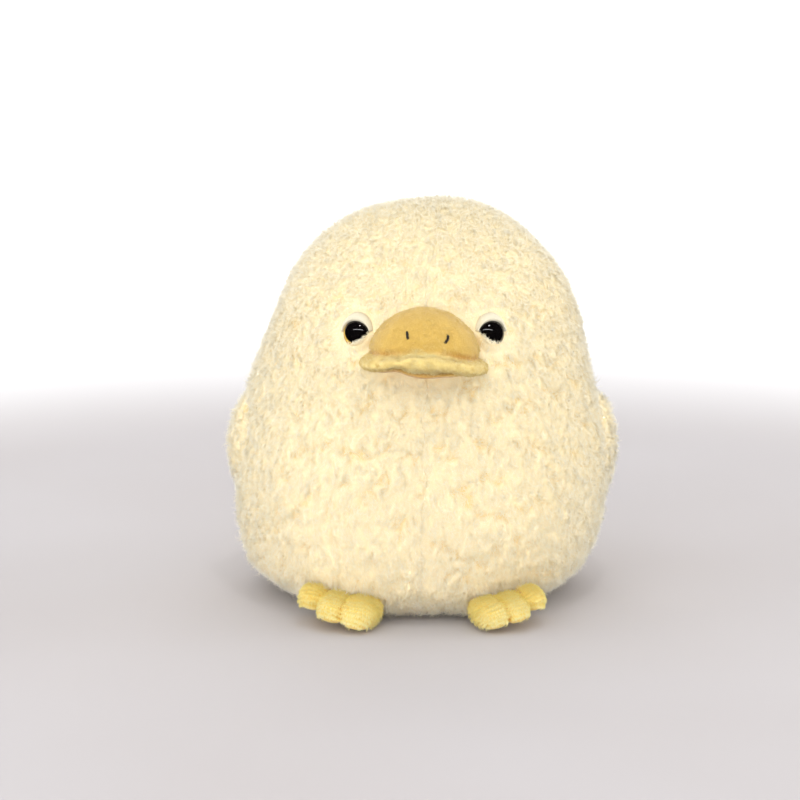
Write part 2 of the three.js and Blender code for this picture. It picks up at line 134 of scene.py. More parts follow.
def normalsOf(mesh):
    flat = np.empty(len(mesh.vertices) * 3, np.float32)
    mesh.vertex_normals.foreach_get("vector", flat)
    return flat.reshape(-1, 3).astype(float)


def trianglesOf(mesh):
    mesh.calc_loop_triangles()
    flat = np.empty(len(mesh.loop_triangles) * 3, np.int32)
    mesh.loop_triangles.foreach_get("vertices", flat)
    return flat.reshape(-1, 3)


def edgesOf(mesh):
    flat = np.empty(len(mesh.edges) * 2, np.int32)
    mesh.edges.foreach_get("vertices", flat)
    return flat.reshape(-1, 2)


def movePoints(mesh, points):
    mesh.vertices.foreach_set("co", np.asarray(points, np.float32).ravel())
    mesh.update()


def floatOn(mesh, name, values):
    layer = mesh.attributes.new(name, "FLOAT", "POINT")
    layer.data.foreach_set("value", np.asarray(values, np.float32))


def vectorOn(mesh, name, values):
    layer = mesh.attributes.new(name, "FLOAT_VECTOR", "POINT")
    layer.data.foreach_set("vector", np.asarray(values, np.float32).ravel())


def smoothFaces(mesh):
    mesh.polygons.foreach_set("use_smooth", np.ones(len(mesh.polygons), bool))
    mesh.update()
    return mesh


def turnOutwards(mesh):
    work = bmesh.new()
    work.from_mesh(mesh)
    bmesh.ops.recalc_face_normals(work, faces=work.faces)
    work.to_mesh(mesh)
    work.free()
    return mesh


def joined(name, meshes):
    points, faces, count = [], [], 0
    for mesh in meshes:
        faces.append(trianglesOf(mesh) + count)
        points.append(pointsOf(mesh))
        count += len(mesh.vertices)
    return meshFrom(name, np.concatenate(points), [np.concatenate(faces)])


def nodeMesh(node):
    return frame["nodes"][node].data


def treeOf(*meshes):
    whole = joined("search", meshes)
    tree = BVHTree.FromPolygons(pointsOf(whole).tolist(), trianglesOf(whole).tolist())
    bpy.data.meshes.remove(whole)
    return tree


def applied(mesh, kind, **settings):  # the mesh that a modifier makes of it
    piece = bpy.data.objects.new("work", mesh)
    bpy.context.scene.collection.objects.link(piece)
    modifier = piece.modifiers.new("work", kind)
    for key, value in settings.items():
        setattr(modifier, key, value)
    seen = piece.evaluated_get(bpy.context.evaluated_depsgraph_get())
    made = bpy.data.meshes.new_from_object(seen)
    made.name = mesh.name
    bpy.data.objects.remove(piece)
    return smoothFaces(made)


def outsideOf(mesh):  # drops the small shells that a remesh leaves inside
    work = bmesh.new()
    work.from_mesh(mesh)
    work.verts.ensure_lookup_table()
    left, shells = set(work.verts), []
    while left:
        front = [left.pop()]
        shell = set(front)
        while front:
            here = front.pop()
            near = [e.other_vert(here) for e in here.link_edges]
            fresh = [v for v in near if v in left]
            left.difference_update(fresh)
            shell.update(fresh)
            front.extend(fresh)
        shells.append(shell)
    keep = max(shells, key=len)
    bmesh.ops.delete(work, geom=[v for v in work.verts if v not in keep], context="VERTS")
    work.to_mesh(mesh)
    work.free()
    return mesh


def relaxed(mesh, rounds):  # evens the mesh out without shrinking it much
    shrink, swell = 0.55, -0.57
    points, edges = pointsOf(mesh), edgesOf(mesh)
    degree = np.bincount(edges.ravel(), minlength=len(points))[:, None]
    for turn in range(2 * rounds):
        total = np.zeros_like(points)
        np.add.at(total, edges[:, 0], points[edges[:, 1]])
        np.add.at(total, edges[:, 1], points[edges[:, 0]])
        pull = total / np.maximum(degree, 1) - points
        points = points + pull * (shrink if turn % 2 == 0 else swell)
    movePoints(mesh, points)
    return mesh


def puffed(mesh, pressure, cap, sewn=None, frames=20):  # the stuffing presses the cloth out
    start = pointsOf(mesh)
    piece = bpy.data.objects.new("puff", mesh.copy())
    bpy.context.scene.collection.objects.link(piece)
    cloth = piece.modifiers.new("stuffing", "CLOTH")
    cloth.settings.use_pressure = True
    cloth.settings.uniform_pressure_force = pressure
    cloth.settings.effector_weights.gravity = 0
    cloth.collision_settings.use_collision = False
    cloth.point_cache.frame_end = frames
    if sewn is not None:
        group = piece.vertex_groups.new(name="sewn")
        group.add([int(k) for k in sewn], 1, "REPLACE")
        cloth.settings.vertex_group_mass = "sewn"
    for step in range(1, frames + 1):
        bpy.context.scene.frame_set(step)
    seen = piece.evaluated_get(bpy.context.evaluated_depsgraph_get())
    shift = pointsOf(seen.data) - start
    bpy.context.scene.frame_set(1)
    bpy.data.objects.remove(piece)
    far = np.linalg.norm(shift, axis=1)
    print("  stuffing moved the cloth up to", round(far.max() / mm, 2), "mm, held to", round(cap / mm, 2))
    return start + shift * (np.tanh(far / cap) * cap / np.maximum(far, 1e-9))[:, None]


def place(name, mesh, finish, body, replaced=()):
    piece = bpy.data.objects.new(name, mesh)
    bpy.context.scene.collection.objects.link(piece)
    mesh.materials.clear()
    mesh.materials.append(finish)
    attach(piece, body)
    if replaced:
        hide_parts(*replaced)
    return piece


# shading


class Wire:  # a socket that takes part in sums
    def __init__(self, tree, socket):
        self.tree, self.socket = tree, socket

    def math(self, operation, first, second):
        node = self.tree.nodes.new("ShaderNodeMath")
        node.operation = operation
        for socket, value in zip(node.inputs, (first, second)):
            plug(self.tree, socket, value)
        return Wire(self.tree, node.outputs[0])

    def __add__(self, other):
        return self.math("ADD", self, other)

    def __sub__(self, other):
        return self.math("SUBTRACT", self, other)

    def __mul__(self, other):
        return self.math("MULTIPLY", self, other)

    def __rsub__(self, other):
        return self.math("SUBTRACT", other, self)

    __radd__, __rmul__ = __add__, __mul__


def plug(tree, socket, value):
    if isinstance(value, Wire):
        tree.links.new(value.socket, socket)
    elif isinstance(value, (tuple, list)) and len(value) == 3 and socket.type == "RGBA":
        socket.default_value = (*value, 1)
    else:
        socket.default_value = value


class Finish:  # one material and its nodes
    def __init__(self, name, **fixed):
        self.material = bpy.data.materials.new(name)
        self.material.use_nodes = True
        self.tree = self.material.node_tree
        self.shader = self.tree.nodes["Principled BSDF"]
        self.set(**fixed)

    def set(self, **sockets):  # baseColor is the socket "Base Color"
        for key, value in sockets.items():
            words = "".join(" " + c if c.isupper() else c for c in key).split()
            label = " ".join(word.capitalize() for word in words).replace("Ior", "IOR")
            plug(self.tree, self.shader.inputs[label], value)

    def node(self, kind, settings=None, sockets=None, out=0):
        node = self.tree.nodes.new(kind)
        for key, value in (settings or {}).items():
            setattr(node, key, value)
        for key, value in (sockets or {}).items():
            plug(self.tree, node.inputs[key], value)
        return Wire(self.tree, node.outputs[out])

    def mix(self, share, first, second):
        settings = {"data_type": "RGBA", "clamp_factor": True}
        return self.node("ShaderNodeMix", settings, {"Factor": share, 6: first, 7: second}, 2)

    def read(self, name):  # a number laid on the mesh's points
        return self.node("ShaderNodeAttribute", {"attribute_name": name}, out="Fac")

    def spots(self, size, detail=3, roughness=0.55, stretch=(1, 1, 1)):  # noise from 0 to 1
        where = self.node("ShaderNodeTexCoord", out="Object")
        where = self.node("ShaderNodeMapping", None, {"Vector": where, "Scale": stretch})
        sockets = {"Vector": where, "Scale": 1 / size, "Detail": detail, "Roughness": roughness}
        return self.node("ShaderNodeTexNoise", None, sockets, "Fac")

    def fade(self, where, start, end):  # 0 to 1 as the length of a vector goes from the start to the end
        away = self.node("ShaderNodeVectorMath", {"operation": "LENGTH"}, {0: where}, "Value")
        sockets = {"Value": away, "From Min": start, "From Max": end}
        return self.node("ShaderNodeMapRange", {"interpolation_type": "SMOOTHSTEP"}, sockets)

    def bump(self, height, depth):
        self.set(normal=self.node("ShaderNodeBump", None, {"Height": height, "Distance": depth}))


def srgb(red, green, blue):  # 0 to 255 as seen, to the linear values that shaders take
    def linear(c):
        c = c / 255
        return c / 12.92 if c <= 0.04045 else ((c + 0.055) / 1.055) ** 2.4

    return linear(red), linear(green), linear(blue)


# strands: thin three-sided tubes that bend over and end in a point

strandForm = {
    "tip": 0.55,  # of the width at the root
    "sunk": 0.25 * mm,  # in the ground
    "rise": (1, 0.55, 0.2),  # of the lift, in each third
    "lean": (0.35, 0.75, 1),
    "nod": 0.08,  # the last third dips
    "curl": 0.6,
    "widths": (0.7, 1.3),
    "tipColour": 1.5,  # over 1, a strand has it before its end
    "tintFrom": 0.03,  # the map holds the tint across
    "tintSpan": 0.92,
    "tintApart": 0.012,
    "alongFrom": 0.02,  # and root to tip upwards
    "alongSpan": 0.96,
}


def strandFinish(name, colours):  # strands go from a darker root, painted shade deep in the pile, to a paler tip, and each has its own tint
    look = Finish(name, roughness=colours["roughness"], sheenWeight=colours["sheen"])
    look.set(sheenTint=colours.get("sheenTint", colours["otherTip"]))
    where = look.node("ShaderNodeUVMap", {"uv_map": "OFBake"})
    tint = look.node("ShaderNodeSeparateXYZ", None, {"Vector": where}, "X")
    along = look.node("ShaderNodeSeparateXYZ", None, {"Vector": where}, "Y")
    start = look.mix(tint, colours["root"], colours["otherRoot"])
    end = look.mix(tint, colours["tip"], colours["otherTip"])
    # the darker root colour is painted shade deep in the pile
    look.set(baseColor=look.mix(along * strandForm["tipColour"], start, end))
    return look.material


def strandMesh(name, path, width, tint, outward, flat=0.55):
    count = len(path[0])
    rng = np.random.default_rng(seedOf(name))
    spin = unit(rng.normal(size=(count, 3)))
    taper = np.linspace(1, strandForm["tip"], len(path) - 1)
    rings, along, facing = [], [], []
    for step in range(len(path) - 1):
        heading = unit(path[step + 1] - path[max(step - 1, 0)])
        side = unit(np.cross(heading, spin))
        other = np.cross(heading, side)
        for corner in range(3):
            turn = 2 * math.pi * corner / 3
            away = side * math.cos(turn) + other * math.sin(turn)
            rings.append(path[step] + width[:, None] * taper[step] / 2 * away)
            facing.append(unit(away * (1 - flat) + outward * flat))
            along.append(step / (len(path) - 1))
    rings.append(path[-1])
    facing.append(outward)
    along.append(1.0)
    each = len(rings)
    points = np.stack(rings, 1).reshape(-1, 3)
    first = (np.arange(count) * each)[:, None]
    quads, triangles = [], [[2, 1, 0]]
    for step in range(len(path) - 2):
        low = 3 * step
        for corner in range(3):
            after = (corner + 1) % 3
            quads.append([low + corner, low + after, low + 3 + after, low + 3 + corner])
    last = 3 * (len(path) - 2)
    triangles += [[last + corner, last + (corner + 1) % 3, each - 1] for corner in range(3)]
    faces = [(first[:, None] + np.array(group)).reshape(-1, len(group[0])) for group in (quads, triangles)]
    mesh = meshFrom(name, points, faces)
    vectorOn(mesh, "custom_normal", np.stack(facing, 1))
    corners = np.empty(len(mesh.loops), np.int32)
    mesh.loops.foreach_get("vertex_index", corners)
    across = strandForm["tintFrom"] + strandForm["tintSpan"] * np.clip(tint, 0, 1)[:, None]
    across = across + strandForm["tintApart"] * (np.arange(each) % 3 - 1)
    upwards = strandForm["alongFrom"] + strandForm["alongSpan"] * np.array(along)
    upwards = np.broadcast_to(upwards, across.shape)
    spread = np.stack([across.ravel(), upwards.ravel()], 1)[corners]
    mesh.uv_layers.new(name="OFBake").data.foreach_set("uv", spread.astype(np.float32).ravel())
    return mesh


def bentStrands(roots, normals, towards, lengths, lift, loose, rng):  # up out of the ground, then over
    sway = rng.normal(size=roots.shape) * loose
    towards = towards + sway
    towards = towards - normals * dot(towards, normals)
    reach = lengths[:, None] / 3
    rise, lean = strandForm["rise"], strandForm["lean"]
    first = roots + reach * unit(normals * lift * rise[0] + towards * lean[0])
    second = first + reach * unit(normals * lift * rise[1] + towards * lean[1])
    last = normals * (lift * rise[2] - strandForm["nod"]) + towards * lean[2] + sway * strandForm["curl"]
    return [roots - normals * strandForm["sunk"], first, second, second + reach * unit(last)]


class Samples:  # random places spread evenly over a mesh, and what its points hold there
    def __init__(self, mesh, count, rng, share=None):
        points, triangles = pointsOf(mesh), trianglesOf(mesh)
        a, b, c = (points[triangles[:, k]] for k in range(3))
        area = np.linalg.norm(np.cross(b - a, c - a), axis=1)
        if share is not None:
            area = area * share[triangles].mean(1)
        pick = rng.choice(len(area), count, p=area / area.sum())
        s, t = rng.uniform(size=(2, count))
        over = s + t > 1
        s, t = np.where(over, 1 - s, s), np.where(over, 1 - t, t)
        self.corners = triangles[pick]
        self.weights = np.stack([1 - s - t, s, t], 1)
        self.roots = self.read(points)
        self.normals = unit(self.read(normalsOf(mesh)))

    def read(self, field):
        field = field if field.ndim == 2 else field[:, None]
        found = (field[self.corners] * self.weights[..., None]).sum(1)
        return found if found.shape[1] > 1 else found[:, 0]


def covered(roots, normals, tree, reach):  # 1 where something lies over the place
    hits = [tree.ray_cast(r, n, reach)[0] for r, n in zip(roots.tolist(), normals.tolist())]
    return np.array([hit is not None for hit in hits])


# fleece finishes

fleeceColours = {
    # painted shade: the colour of the ground deep in a crevice
    "crevice": srgb(238, 208, 140),
    "ground": srgb(249, 232, 188),
    # strand roots darker than the tips: painted shade deep in the pile
    "root": srgb(248, 227, 170),
    "otherRoot": srgb(247, 221, 158),
    "tip": srgb(255, 249, 229),
    "otherTip": srgb(254, 242, 208),
    "roughness": 0.9,
    "sheen": 0.3,
    "sheenTint": srgb(255, 251, 238),
    "loft": 0.8,  # how much paler the ground is outside the crevices, whose darker colour is painted shade
    "mottle": 0.35,
    "mottleSize": 2.2 * mm,
    "knitSize": 0.5 * mm,
    "knitDepth": 0.3 * mm,
}


def fleeceGround():  # knitted ground and matted wool under the pile, painted darker in the crevices as shade
    look = Finish("fleeceGround", roughness=fleeceColours["roughness"])
    mottle = look.spots(fleeceColours["mottleSize"])
    # the crevice colour by the loft is painted shade; the mottle is random tone
    shade = look.read("loft") * fleeceColours["loft"] + mottle * fleeceColours["mottle"]
    look.set(baseColor=look.mix(shade, fleeceColours["crevice"], fleeceColours["ground"]))
    look.bump(look.spots(fleeceColours["knitSize"], 4), fleeceColours["knitDepth"])
    return look.material


fleeceSkinFinish = fleeceGround()
fleecePileFinish = strandFinish("fleecePile", fleeceColours)

# body form, read from the CAD skin

skinNodes = ["left_front_gore", "right_front_gore", "left_back_gore", "right_back_gore", "base_panel"]
bodyForm = {
    "middle": 60 * mm,  # the outline is read by rays towards this height on the axis
    "offAxis": 0.6 * mm,  # so that no ray runs along a seam
    "rays": 240,
    "rimRadius": 20 * mm,  # at least
    "columns": 120,
    "rows": 200,
    "insideEvery": 5,  # the inside has one row for so many outside
    "thickness": 3.5 * mm,
    "seamDepths": (0.2 * mm, 0.1 * mm, 0.2 * mm, 0.1 * mm),  # front, left, back and right
    "seamWidth": 1.7 * mm,
    "seamWander": 0.7 * mm,
    "wanderSize": 7 * mm,
    "leastRadius": 8 * mm,  # for the wander, near the crown
    "crowding": 0.04,  # of the columns, beside the seams
    "rimFade": 8 * mm,  # the swell starts from the base's edge over that length
    "pressure": 4,
    "swellCap": 2.0 * mm,
    "sway": 0.6 * mm,  # uneven stuffing
    "swaySize": 24 * mm,
    "crownLean": 4.5 * mm,
    "leanFrom": 85 * mm,
    "baseLean": 1.5 * mm,  # the other way, between these heights
    "baseLeanFrom": 24 * mm,
    "baseLeanFull": 8 * mm,
    "shoulder": 1.3 * mm,  # the stuffing is fuller behind the wings
    "shoulderSize": 30 * mm,
    "shoulderUp": {"left": 8 * mm, "right": -8 * mm},
    "tuck": 0.13,  # of its width, at the floor
    "tuckBelow": 12 * mm,
    "tuckCurve": 1.3,
    "crownGap": 0.3 * mm,  # the gores end that far from the axis
}


def sideOutline():
    tree = treeOf(*(nodeMesh(node) for node in skinNodes))
    found = []
    offset = Vector((bodyForm["offAxis"], bodyForm["offAxis"], bodyForm["middle"]))
    for angle in np.radians(np.linspace(-89.5, 90, bodyForm["rays"])):
        heading = Vector((math.cos(angle), 0, math.sin(angle)))
        hit = tree.ray_cast(offset + heading * 0.5, -heading)[0]
        found.append((max(hit.x, 0.0), hit.z))
    kernel = np.hanning(13)[1:-1]
    padded = np.pad(np.array(found), ((5, 5), (0, 0)), "edge")
    even = np.stack([np.convolve(padded[:, k], kernel / kernel.sum(), "valid") for k in (0, 1)], 1)
    even[-1, 0] = 0  # closed on the axis
    return even


outline = sideOutline()
outlineLength = np.concatenate([[0], np.cumsum(np.linalg.norm(np.diff(outline, axis=0), axis=1))])
frontShare = -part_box("left_front_gore")[0].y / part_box("left_front_gore")[1].x
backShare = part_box("left_back_gore")[1].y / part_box("left_back_gore")[1].x
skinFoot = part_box("left_front_gore")[0].z
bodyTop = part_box("left_front_gore")[1].z
rim = outlineLength[np.argmax((outline[:, 1] > skinFoot) & (outline[:, 0] > bodyForm["rimRadius"]))]
crownEnd = outlineLength[-1] - bodyForm["crownGap"]


def bodyPoint(angle, along):  # angle runs from the front seam round to the chick's left
    radius = np.interp(along, outlineLength, outline[:, 0])
    height = np.interp(along, outlineLength, outline[:, 1])
    depth = np.where(np.cos(angle) > 0, frontShare, backShare)
    return np.stack([radius * np.sin(angle), -radius * np.cos(angle) * depth, height], -1)


def bodyNormal(angle, along):  # from short steps round and along the body
    turn, step = 0.02, 2 * mm
    around = bodyPoint(angle + turn, along) - bodyPoint(angle - turn, along)
    upwards = bodyPoint(angle, along + step) - bodyPoint(angle, along - step)
    return unit(np.cross(around, upwards))


def leaned(points):  # the crown leans a little to the chick's left, and the bottom is drawn in
    height = points[..., 2]
    crown = np.clip((height - bodyForm["leanFrom"]) / (bodyTop - bodyForm["leanFrom"]), 0, 1)
    low = np.clip(1 - height / bodyForm["tuckBelow"], 0, 1)
    moved = points.copy()
    foot = ease(bodyForm["baseLeanFrom"], bodyForm["baseLeanFull"], height)
    moved[..., :2] *= (1 - bodyForm["tuck"] * low ** bodyForm["tuckCurve"])[..., None]
    moved[..., 0] += bodyForm["crownLean"] * crown**2 - bodyForm["baseLean"] * foot
    return moved


def swollenBody(perGore=18, rows=44):  # how far the stuffing bellies the cloth out between the seams
    columns = 4 * perGore
    angles = np.arange(columns) * 2 * math.pi / columns
    along = np.linspace(rim, crownEnd, rows + 1)
    grid = bodyPoint(*np.meshgrid(angles, along))
    index, quads = ringGrid(rows + 1, columns)
    mesh = meshFrom("bodyCloth", grid.reshape(-1, 3), [quads, index[:1, ::-1], index[-1:]])
    turnOutwards(mesh)
    sewn = np.concatenate([index[:, ::perGore].ravel(), index[0], index[-1]])
    shift = puffed(mesh, bodyForm["pressure"], bodyForm["swellCap"], sewn) - pointsOf(mesh)
    swell = (shift * normalsOf(mesh)).sum(1).reshape(-1, columns)
    bpy.data.meshes.remove(mesh)
    return np.concatenate([swell, swell[:, :1]], 1), np.append(angles, 2 * math.pi), along


def shoulders(points):
    full = 0
    for side, rise in bodyForm["shoulderUp"].items():
        low, high = (np.array(corner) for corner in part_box(f"{side}_wing"))
        away = np.linalg.norm(points - (low + high) / 2 - up * rise, axis=-1)
        full = full + bodyForm["shoulder"] * hump(away, 0, bodyForm["shoulderSize"])
    return full


def readGrid(values, angles, along, angle, length):
    column = np.interp(angle % (2 * math.pi), angles, np.arange(len(angles)))
    row = np.interp(length, along, np.arange(len(along)))
    c, r = np.minimum(column.astype(int), len(angles) - 2), np.minimum(row.astype(int), len(along) - 2)
    s, t = column - c, row - r
    low = values[r, c] * (1 - s) + values[r, c + 1] * s
    high = values[r + 1, c] * (1 - s) + values[r + 1, c + 1] * s
    return low * (1 - t) + high * t


bodySwell = swollenBody()
print("body outline read and stuffed")

# tufts of the fleece

tufts = {
    "spacing": 3.9 * mm,
    "stretch": 1.9,  # taller than wide
    "height": 0.65 * mm,
    "round": 0.6,  # share of the way to the middle over which a tuft rises
    "level": 0.6,  # share of its height that lies under the plain form
    "warp": 1.0 * mm,
    "warpSize": 3 * mm,
    "uneven": 0.4,
    "seed": 11,
    "tries": 26000,
    "triesSeed": 5,
}
crevices = {  # some tufts part from their neighbours, the rest run together
    "size": 4.5 * mm,
    "from": 0.3,
    "full": 1.0,
    "depth": 0.4 * mm,
    "groundWidth": 0.35,  # as shares of the way from a tuft's edge to its middle
    "strandWidth": 0.12,
    "seed": 31,
}
smoothHead = {  # the fleece lies evener on the head
    "from": 92 * mm,
    "full": 118 * mm,
    "less": 0.5,  # of the tufts and the crevices
    "lit": 1.6,  # as one surface, more than the rest
}


def onHead(points):
    return ease(smoothHead["from"], smoothHead["full"], points[..., 2])


def scattered(candidates, spacing):  # thins points until no two are closer than the spacing
    taken, kept = {}, []
    steps = [(x, y, z) for x in (-1, 0, 1) for y in (-1, 0, 1) for z in (-1, 0, 1)]
    for point, cell in zip(candidates, np.floor(candidates / spacing).astype(int).tolist()):
        i, j, k = cell
        near = [other for x, y, z in steps for other in taken.get((i + x, j + y, k + z), ())]
        if all(((point - other) ** 2).sum() > spacing**2 for other in near):
            taken.setdefault(tuple(cell), []).append(point)
            kept.append(point)
    return np.array(kept)


class TuftField:  # rounded clumps round scattered middles
    def __init__(self, candidates, settings):
        self.settings = settings
        self.squeeze = np.array([1, 1, 1 / settings["stretch"]])
        squeezed = scattered(candidates * self.squeeze, settings["spacing"])
        self.middles = squeezed / self.squeeze
        rng = np.random.default_rng(settings["seed"])
        self.rise = rng.uniform(1 - settings["uneven"], 1 + settings["uneven"], len(squeezed))
        self.turn = rng.uniform(-1, 1, len(squeezed))
        self.tree = KDTree(len(squeezed))
        for index, middle in enumerate(squeezed):
            self.tree.insert(middle, index)
        self.tree.balance()

    def read(self, points):  # 0 at the edge of a clump to 1 in its middle, and the clump's number
        flat = points.reshape(-1, 3)
        sway = drift(flat, self.settings["warpSize"], self.settings["seed"])
        warped = flat + sway * self.settings["warp"]
        found = [self.tree.find_n(p, 2) for p in warped * self.squeeze]
        first = np.array([f[0][2] for f in found])
        second = np.array([f[1][2] for f in found])
        edge = (second - first) / np.maximum(second + first, 1e-9)
        clump = np.array([f[0][1] for f in found])
        return edge.reshape(points.shape[:-1]), clump.reshape(points.shape[:-1])


def bodyCandidates(count, seed):
    rng = np.random.default_rng(seed)
    along = rng.uniform(0, crownEnd, count * 2)
    radius = np.interp(along, outlineLength, outline[:, 0])
    along = along[rng.uniform(0, outline[:, 0].max(), count * 2) < radius]
    return leaned(bodyPoint(rng.uniform(0, 2 * math.pi, len(along)), along))


bodyTufts = TuftField(bodyCandidates(tufts["tries"], tufts["triesSeed"]), tufts)


def creviceOf(points, edge, width):  # 1 where two tufts part
    parted = ease(crevices["from"], crevices["full"], ripple(points, crevices["size"], crevices["seed"]))
    return parted * (1 - smoothHead["less"] * onHead(points)) * (1 - ease(0, width, edge))


def woolRise(points, field):  # height of the wool on the skin, and its loft from 0 in a crevice to 1, the mask of the painted crevice shade
    edge, clump = field.read(points)
    gap = creviceOf(points, edge, crevices["groundWidth"])
    height = tufts["height"] * (1 - smoothHead["less"] * onHead(points))
    dome = ease(0, tufts["round"], edge) - tufts["level"]
    return height * dome * field.rise[clump] - crevices["depth"] * gap, 1 - gap


print(len(bodyTufts.middles), "tufts set")

# face: places of the eyes and the bill, where the fleece lies pressed

faceForm = {
    "eyeRoom": 5.6 * mm,
    "lidSink": 0.5 * mm,  # above the bead
    "rimRise": 0.6 * mm,  # beside and below it
    "cheekRise": 1.1 * mm,  # more, below it and towards the bill
    "eyeCalm": 13 * mm,
    "billCalm": 5 * mm,
    "leastCalm": 0.2,
    "depth": 20 * mm,  # what is further from the eyes, along their axes, isn't on the face
    "lowInner": (0.5, -0.85),  # the way from an eye down towards the bill
    "lowInnerEdge": (0.2, 0.85),
    "socketEdge": (0.8, 1.2),  # of the room
    "lidEdge": (0, 0.6),
    "comb": 1.2,  # of the pile, away from the beads
    "combFull": 5 * mm,
    "combTo": 14 * mm,
}


def middleOf(node):
    low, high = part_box(node)
    return (low + high) / 2


def centreOf(node):  # of its surface, which for a turned piece lies on the axis
    points, triangles = pointsOf(nodeMesh(node)), trianglesOf(nodeMesh(node))
    a, b, c = (points[triangles[:, k]] for k in range(3))
    area = np.linalg.norm(np.cross(b - a, c - a), axis=1)[:, None]
    return ((a + b + c) / 3 * area).sum(0) / area.sum()


def eyeSeat(side):  # the top of the bead, and the way it faces
    middle = centreOf(f"{side}_eye")
    heading = unit(middle - centreOf(f"{side}_eye_washer"))
    crown = treeOf(nodeMesh(f"{side}_eye")).ray_cast(Vector(middle + heading * 0.1), Vector(-heading))[0]
    return np.array(crown), heading


eyes = {side: eyeSeat(side) for side in sides}


def eyeAxes(side):  # towards the bill, upwards and outwards
    crown, heading = eyes[side]
    across = unit(np.cross(heading, up))
    across = across * np.sign(across[0]) * -sides[side]
    above = np.cross(heading, across)
    return crown, across, above * np.sign(above[2]), heading


def aroundEye(points, side):  # rise over the eye, the way out, how far, and how much down by the bill
    crown, across, above, heading = eyeAxes(side)
    apart = points - crown
    depth = dot(apart, heading)
    away = np.linalg.norm(apart - depth * heading, axis=-1)
    way = unit(apart - depth * heading)
    away = np.where(np.abs(depth[..., 0]) < faceForm["depth"], away, 1.0)
    inwards, upwards = faceForm["lowInner"]
    lowInner = ease(*faceForm["lowInnerEdge"], way @ unit(inwards * across + upwards * above))
    return way @ above, way, away, lowInner


def eyeDistance(points):
    return np.minimum(*(aroundEye(points, side)[2] for side in sides))


def eyeSocket(points):  # how far the fleece is pressed in round the beads
    depth = 0
    for side in sides:
        rise, _, away, lowInner = aroundEye(points, side)
        pressed = 1 - ease(*faceForm["socketEdge"], away / faceForm["eyeRoom"])
        over = ease(*faceForm["lidEdge"], rise)
        raised = faceForm["rimRise"] * (1 - over) + faceForm["cheekRise"] * lowInner
        depth = depth + pressed * (faceForm["lidSink"] * over - raised)
    return depth


def distanceTo(tree, points, most=20 * mm):
    near = [tree.find_nearest(p, most)[3] for p in points.reshape(-1, 3).tolist()]
    return np.array([most if d is None else d for d in near]).reshape(points.shape[:-1])


billTree = treeOf(nodeMesh("upper_bill"), nodeMesh("lower_bill"))


def besideEye(points):  # 0 at a bead to 1 on open fleece
    return ease(faceForm["eyeRoom"], faceForm["eyeCalm"], eyeDistance(points))


def calmOf(points):  # 1 on open fleece, less where it lies pressed beside the eyes and the bill
    byBill = ease(0, faceForm["billCalm"], distanceTo(billTree, points))
    least = faceForm["leastCalm"]
    return least + (1 - least) * np.minimum(besideEye(points), byBill)


# skin gores

gores = {  # each starts at the seam before it, counted from the front
    "left_front_gore": 0,
    "left_back_gore": 1,
    "right_back_gore": 2,
    "right_front_gore": 3,
}
skins = {}


def closedGrid(outer, inner, every):  # an outside grid and a coarser inside grid, joined round the edge
    def quads(grid, first):
        index = first + np.arange(grid.shape[0] * grid.shape[1]).reshape(grid.shape[:2])
        corners = (index[:-1, :-1], index[:-1, 1:], index[1:, 1:], index[1:, :-1])
        edge = np.concatenate([index[0, :-1], index[:-1, -1], index[-1, :0:-1], index[:0:-1, 0]])
        return np.stack(corners, -1).reshape(-1, 4), edge

    outFaces, outEdge = quads(outer, 0)
    inFaces, inEdge = quads(inner, outer.shape[0] * outer.shape[1])
    strip = []
    for k, here in enumerate(inEdge):
        for step in range(every):
            after = outEdge[(k * every + step + 1) % len(outEdge)]
            strip.append((outEdge[k * every + step], here, after))
        strip.append((after, here, inEdge[(k + 1) % len(inEdge)]))
    points = np.concatenate([outer.reshape(-1, 3), inner.reshape(-1, 3)])
    return points, [outFaces, inFaces[:, ::-1], np.array(strip)]


def seamAngle(seam, along):  # seams wander a little
    height = np.interp(along, outlineLength, outline[:, 1])
    radius = np.maximum(np.interp(along, outlineLength, outline[:, 0]), bodyForm["leastRadius"])
    path = np.stack([0 * height, 0 * height, height], -1)
    wander = bodyForm["seamWander"] * ripple(path, bodyForm["wanderSize"], 40 + seam % 4)
    return seam * math.pi / 2 + wander / radius


def skinGrid(seam):  # the outside of one quarter of the skin, from that seam to the next
    along = np.linspace(rim, crownEnd, bodyForm["rows"] + 1)[:, None]
    share = np.linspace(0, 1, bodyForm["columns"] + 1)[None]
    share = share - bodyForm["crowding"] * np.sin(2 * math.pi * share)
    angle = seamAngle(seam, along) * (1 - share) + seamAngle(seam + 1, along) * share
    along = along + 0 * angle
    grid = bodyPoint(angle, along)
    normals = bodyNormal(angle, along)
    across = np.linalg.norm(grid[..., :2], axis=-1) * math.pi / 2
    depths = bodyForm["seamDepths"]
    tucked = depths[seam] * hump(share * across, 0, bodyForm["seamWidth"])
    tucked = tucked + depths[(seam + 1) % 4] * hump((1 - share) * across, 0, bodyForm["seamWidth"])
    swell = readGrid(*bodySwell, angle, along)
    sway = bodyForm["sway"] * ripple(grid, bodyForm["swaySize"], 3)
    grid = leaned(grid)
    rise, loft = woolRise(grid, bodyTufts)
    free = besideEye(grid) * ease(0, bodyForm["rimFade"], along - rim)
    lift = rise * calmOf(grid) + (swell + sway + shoulders(grid)) * free - tucked - eyeSocket(grid)
    return grid + normals * lift[..., None], normals, loft


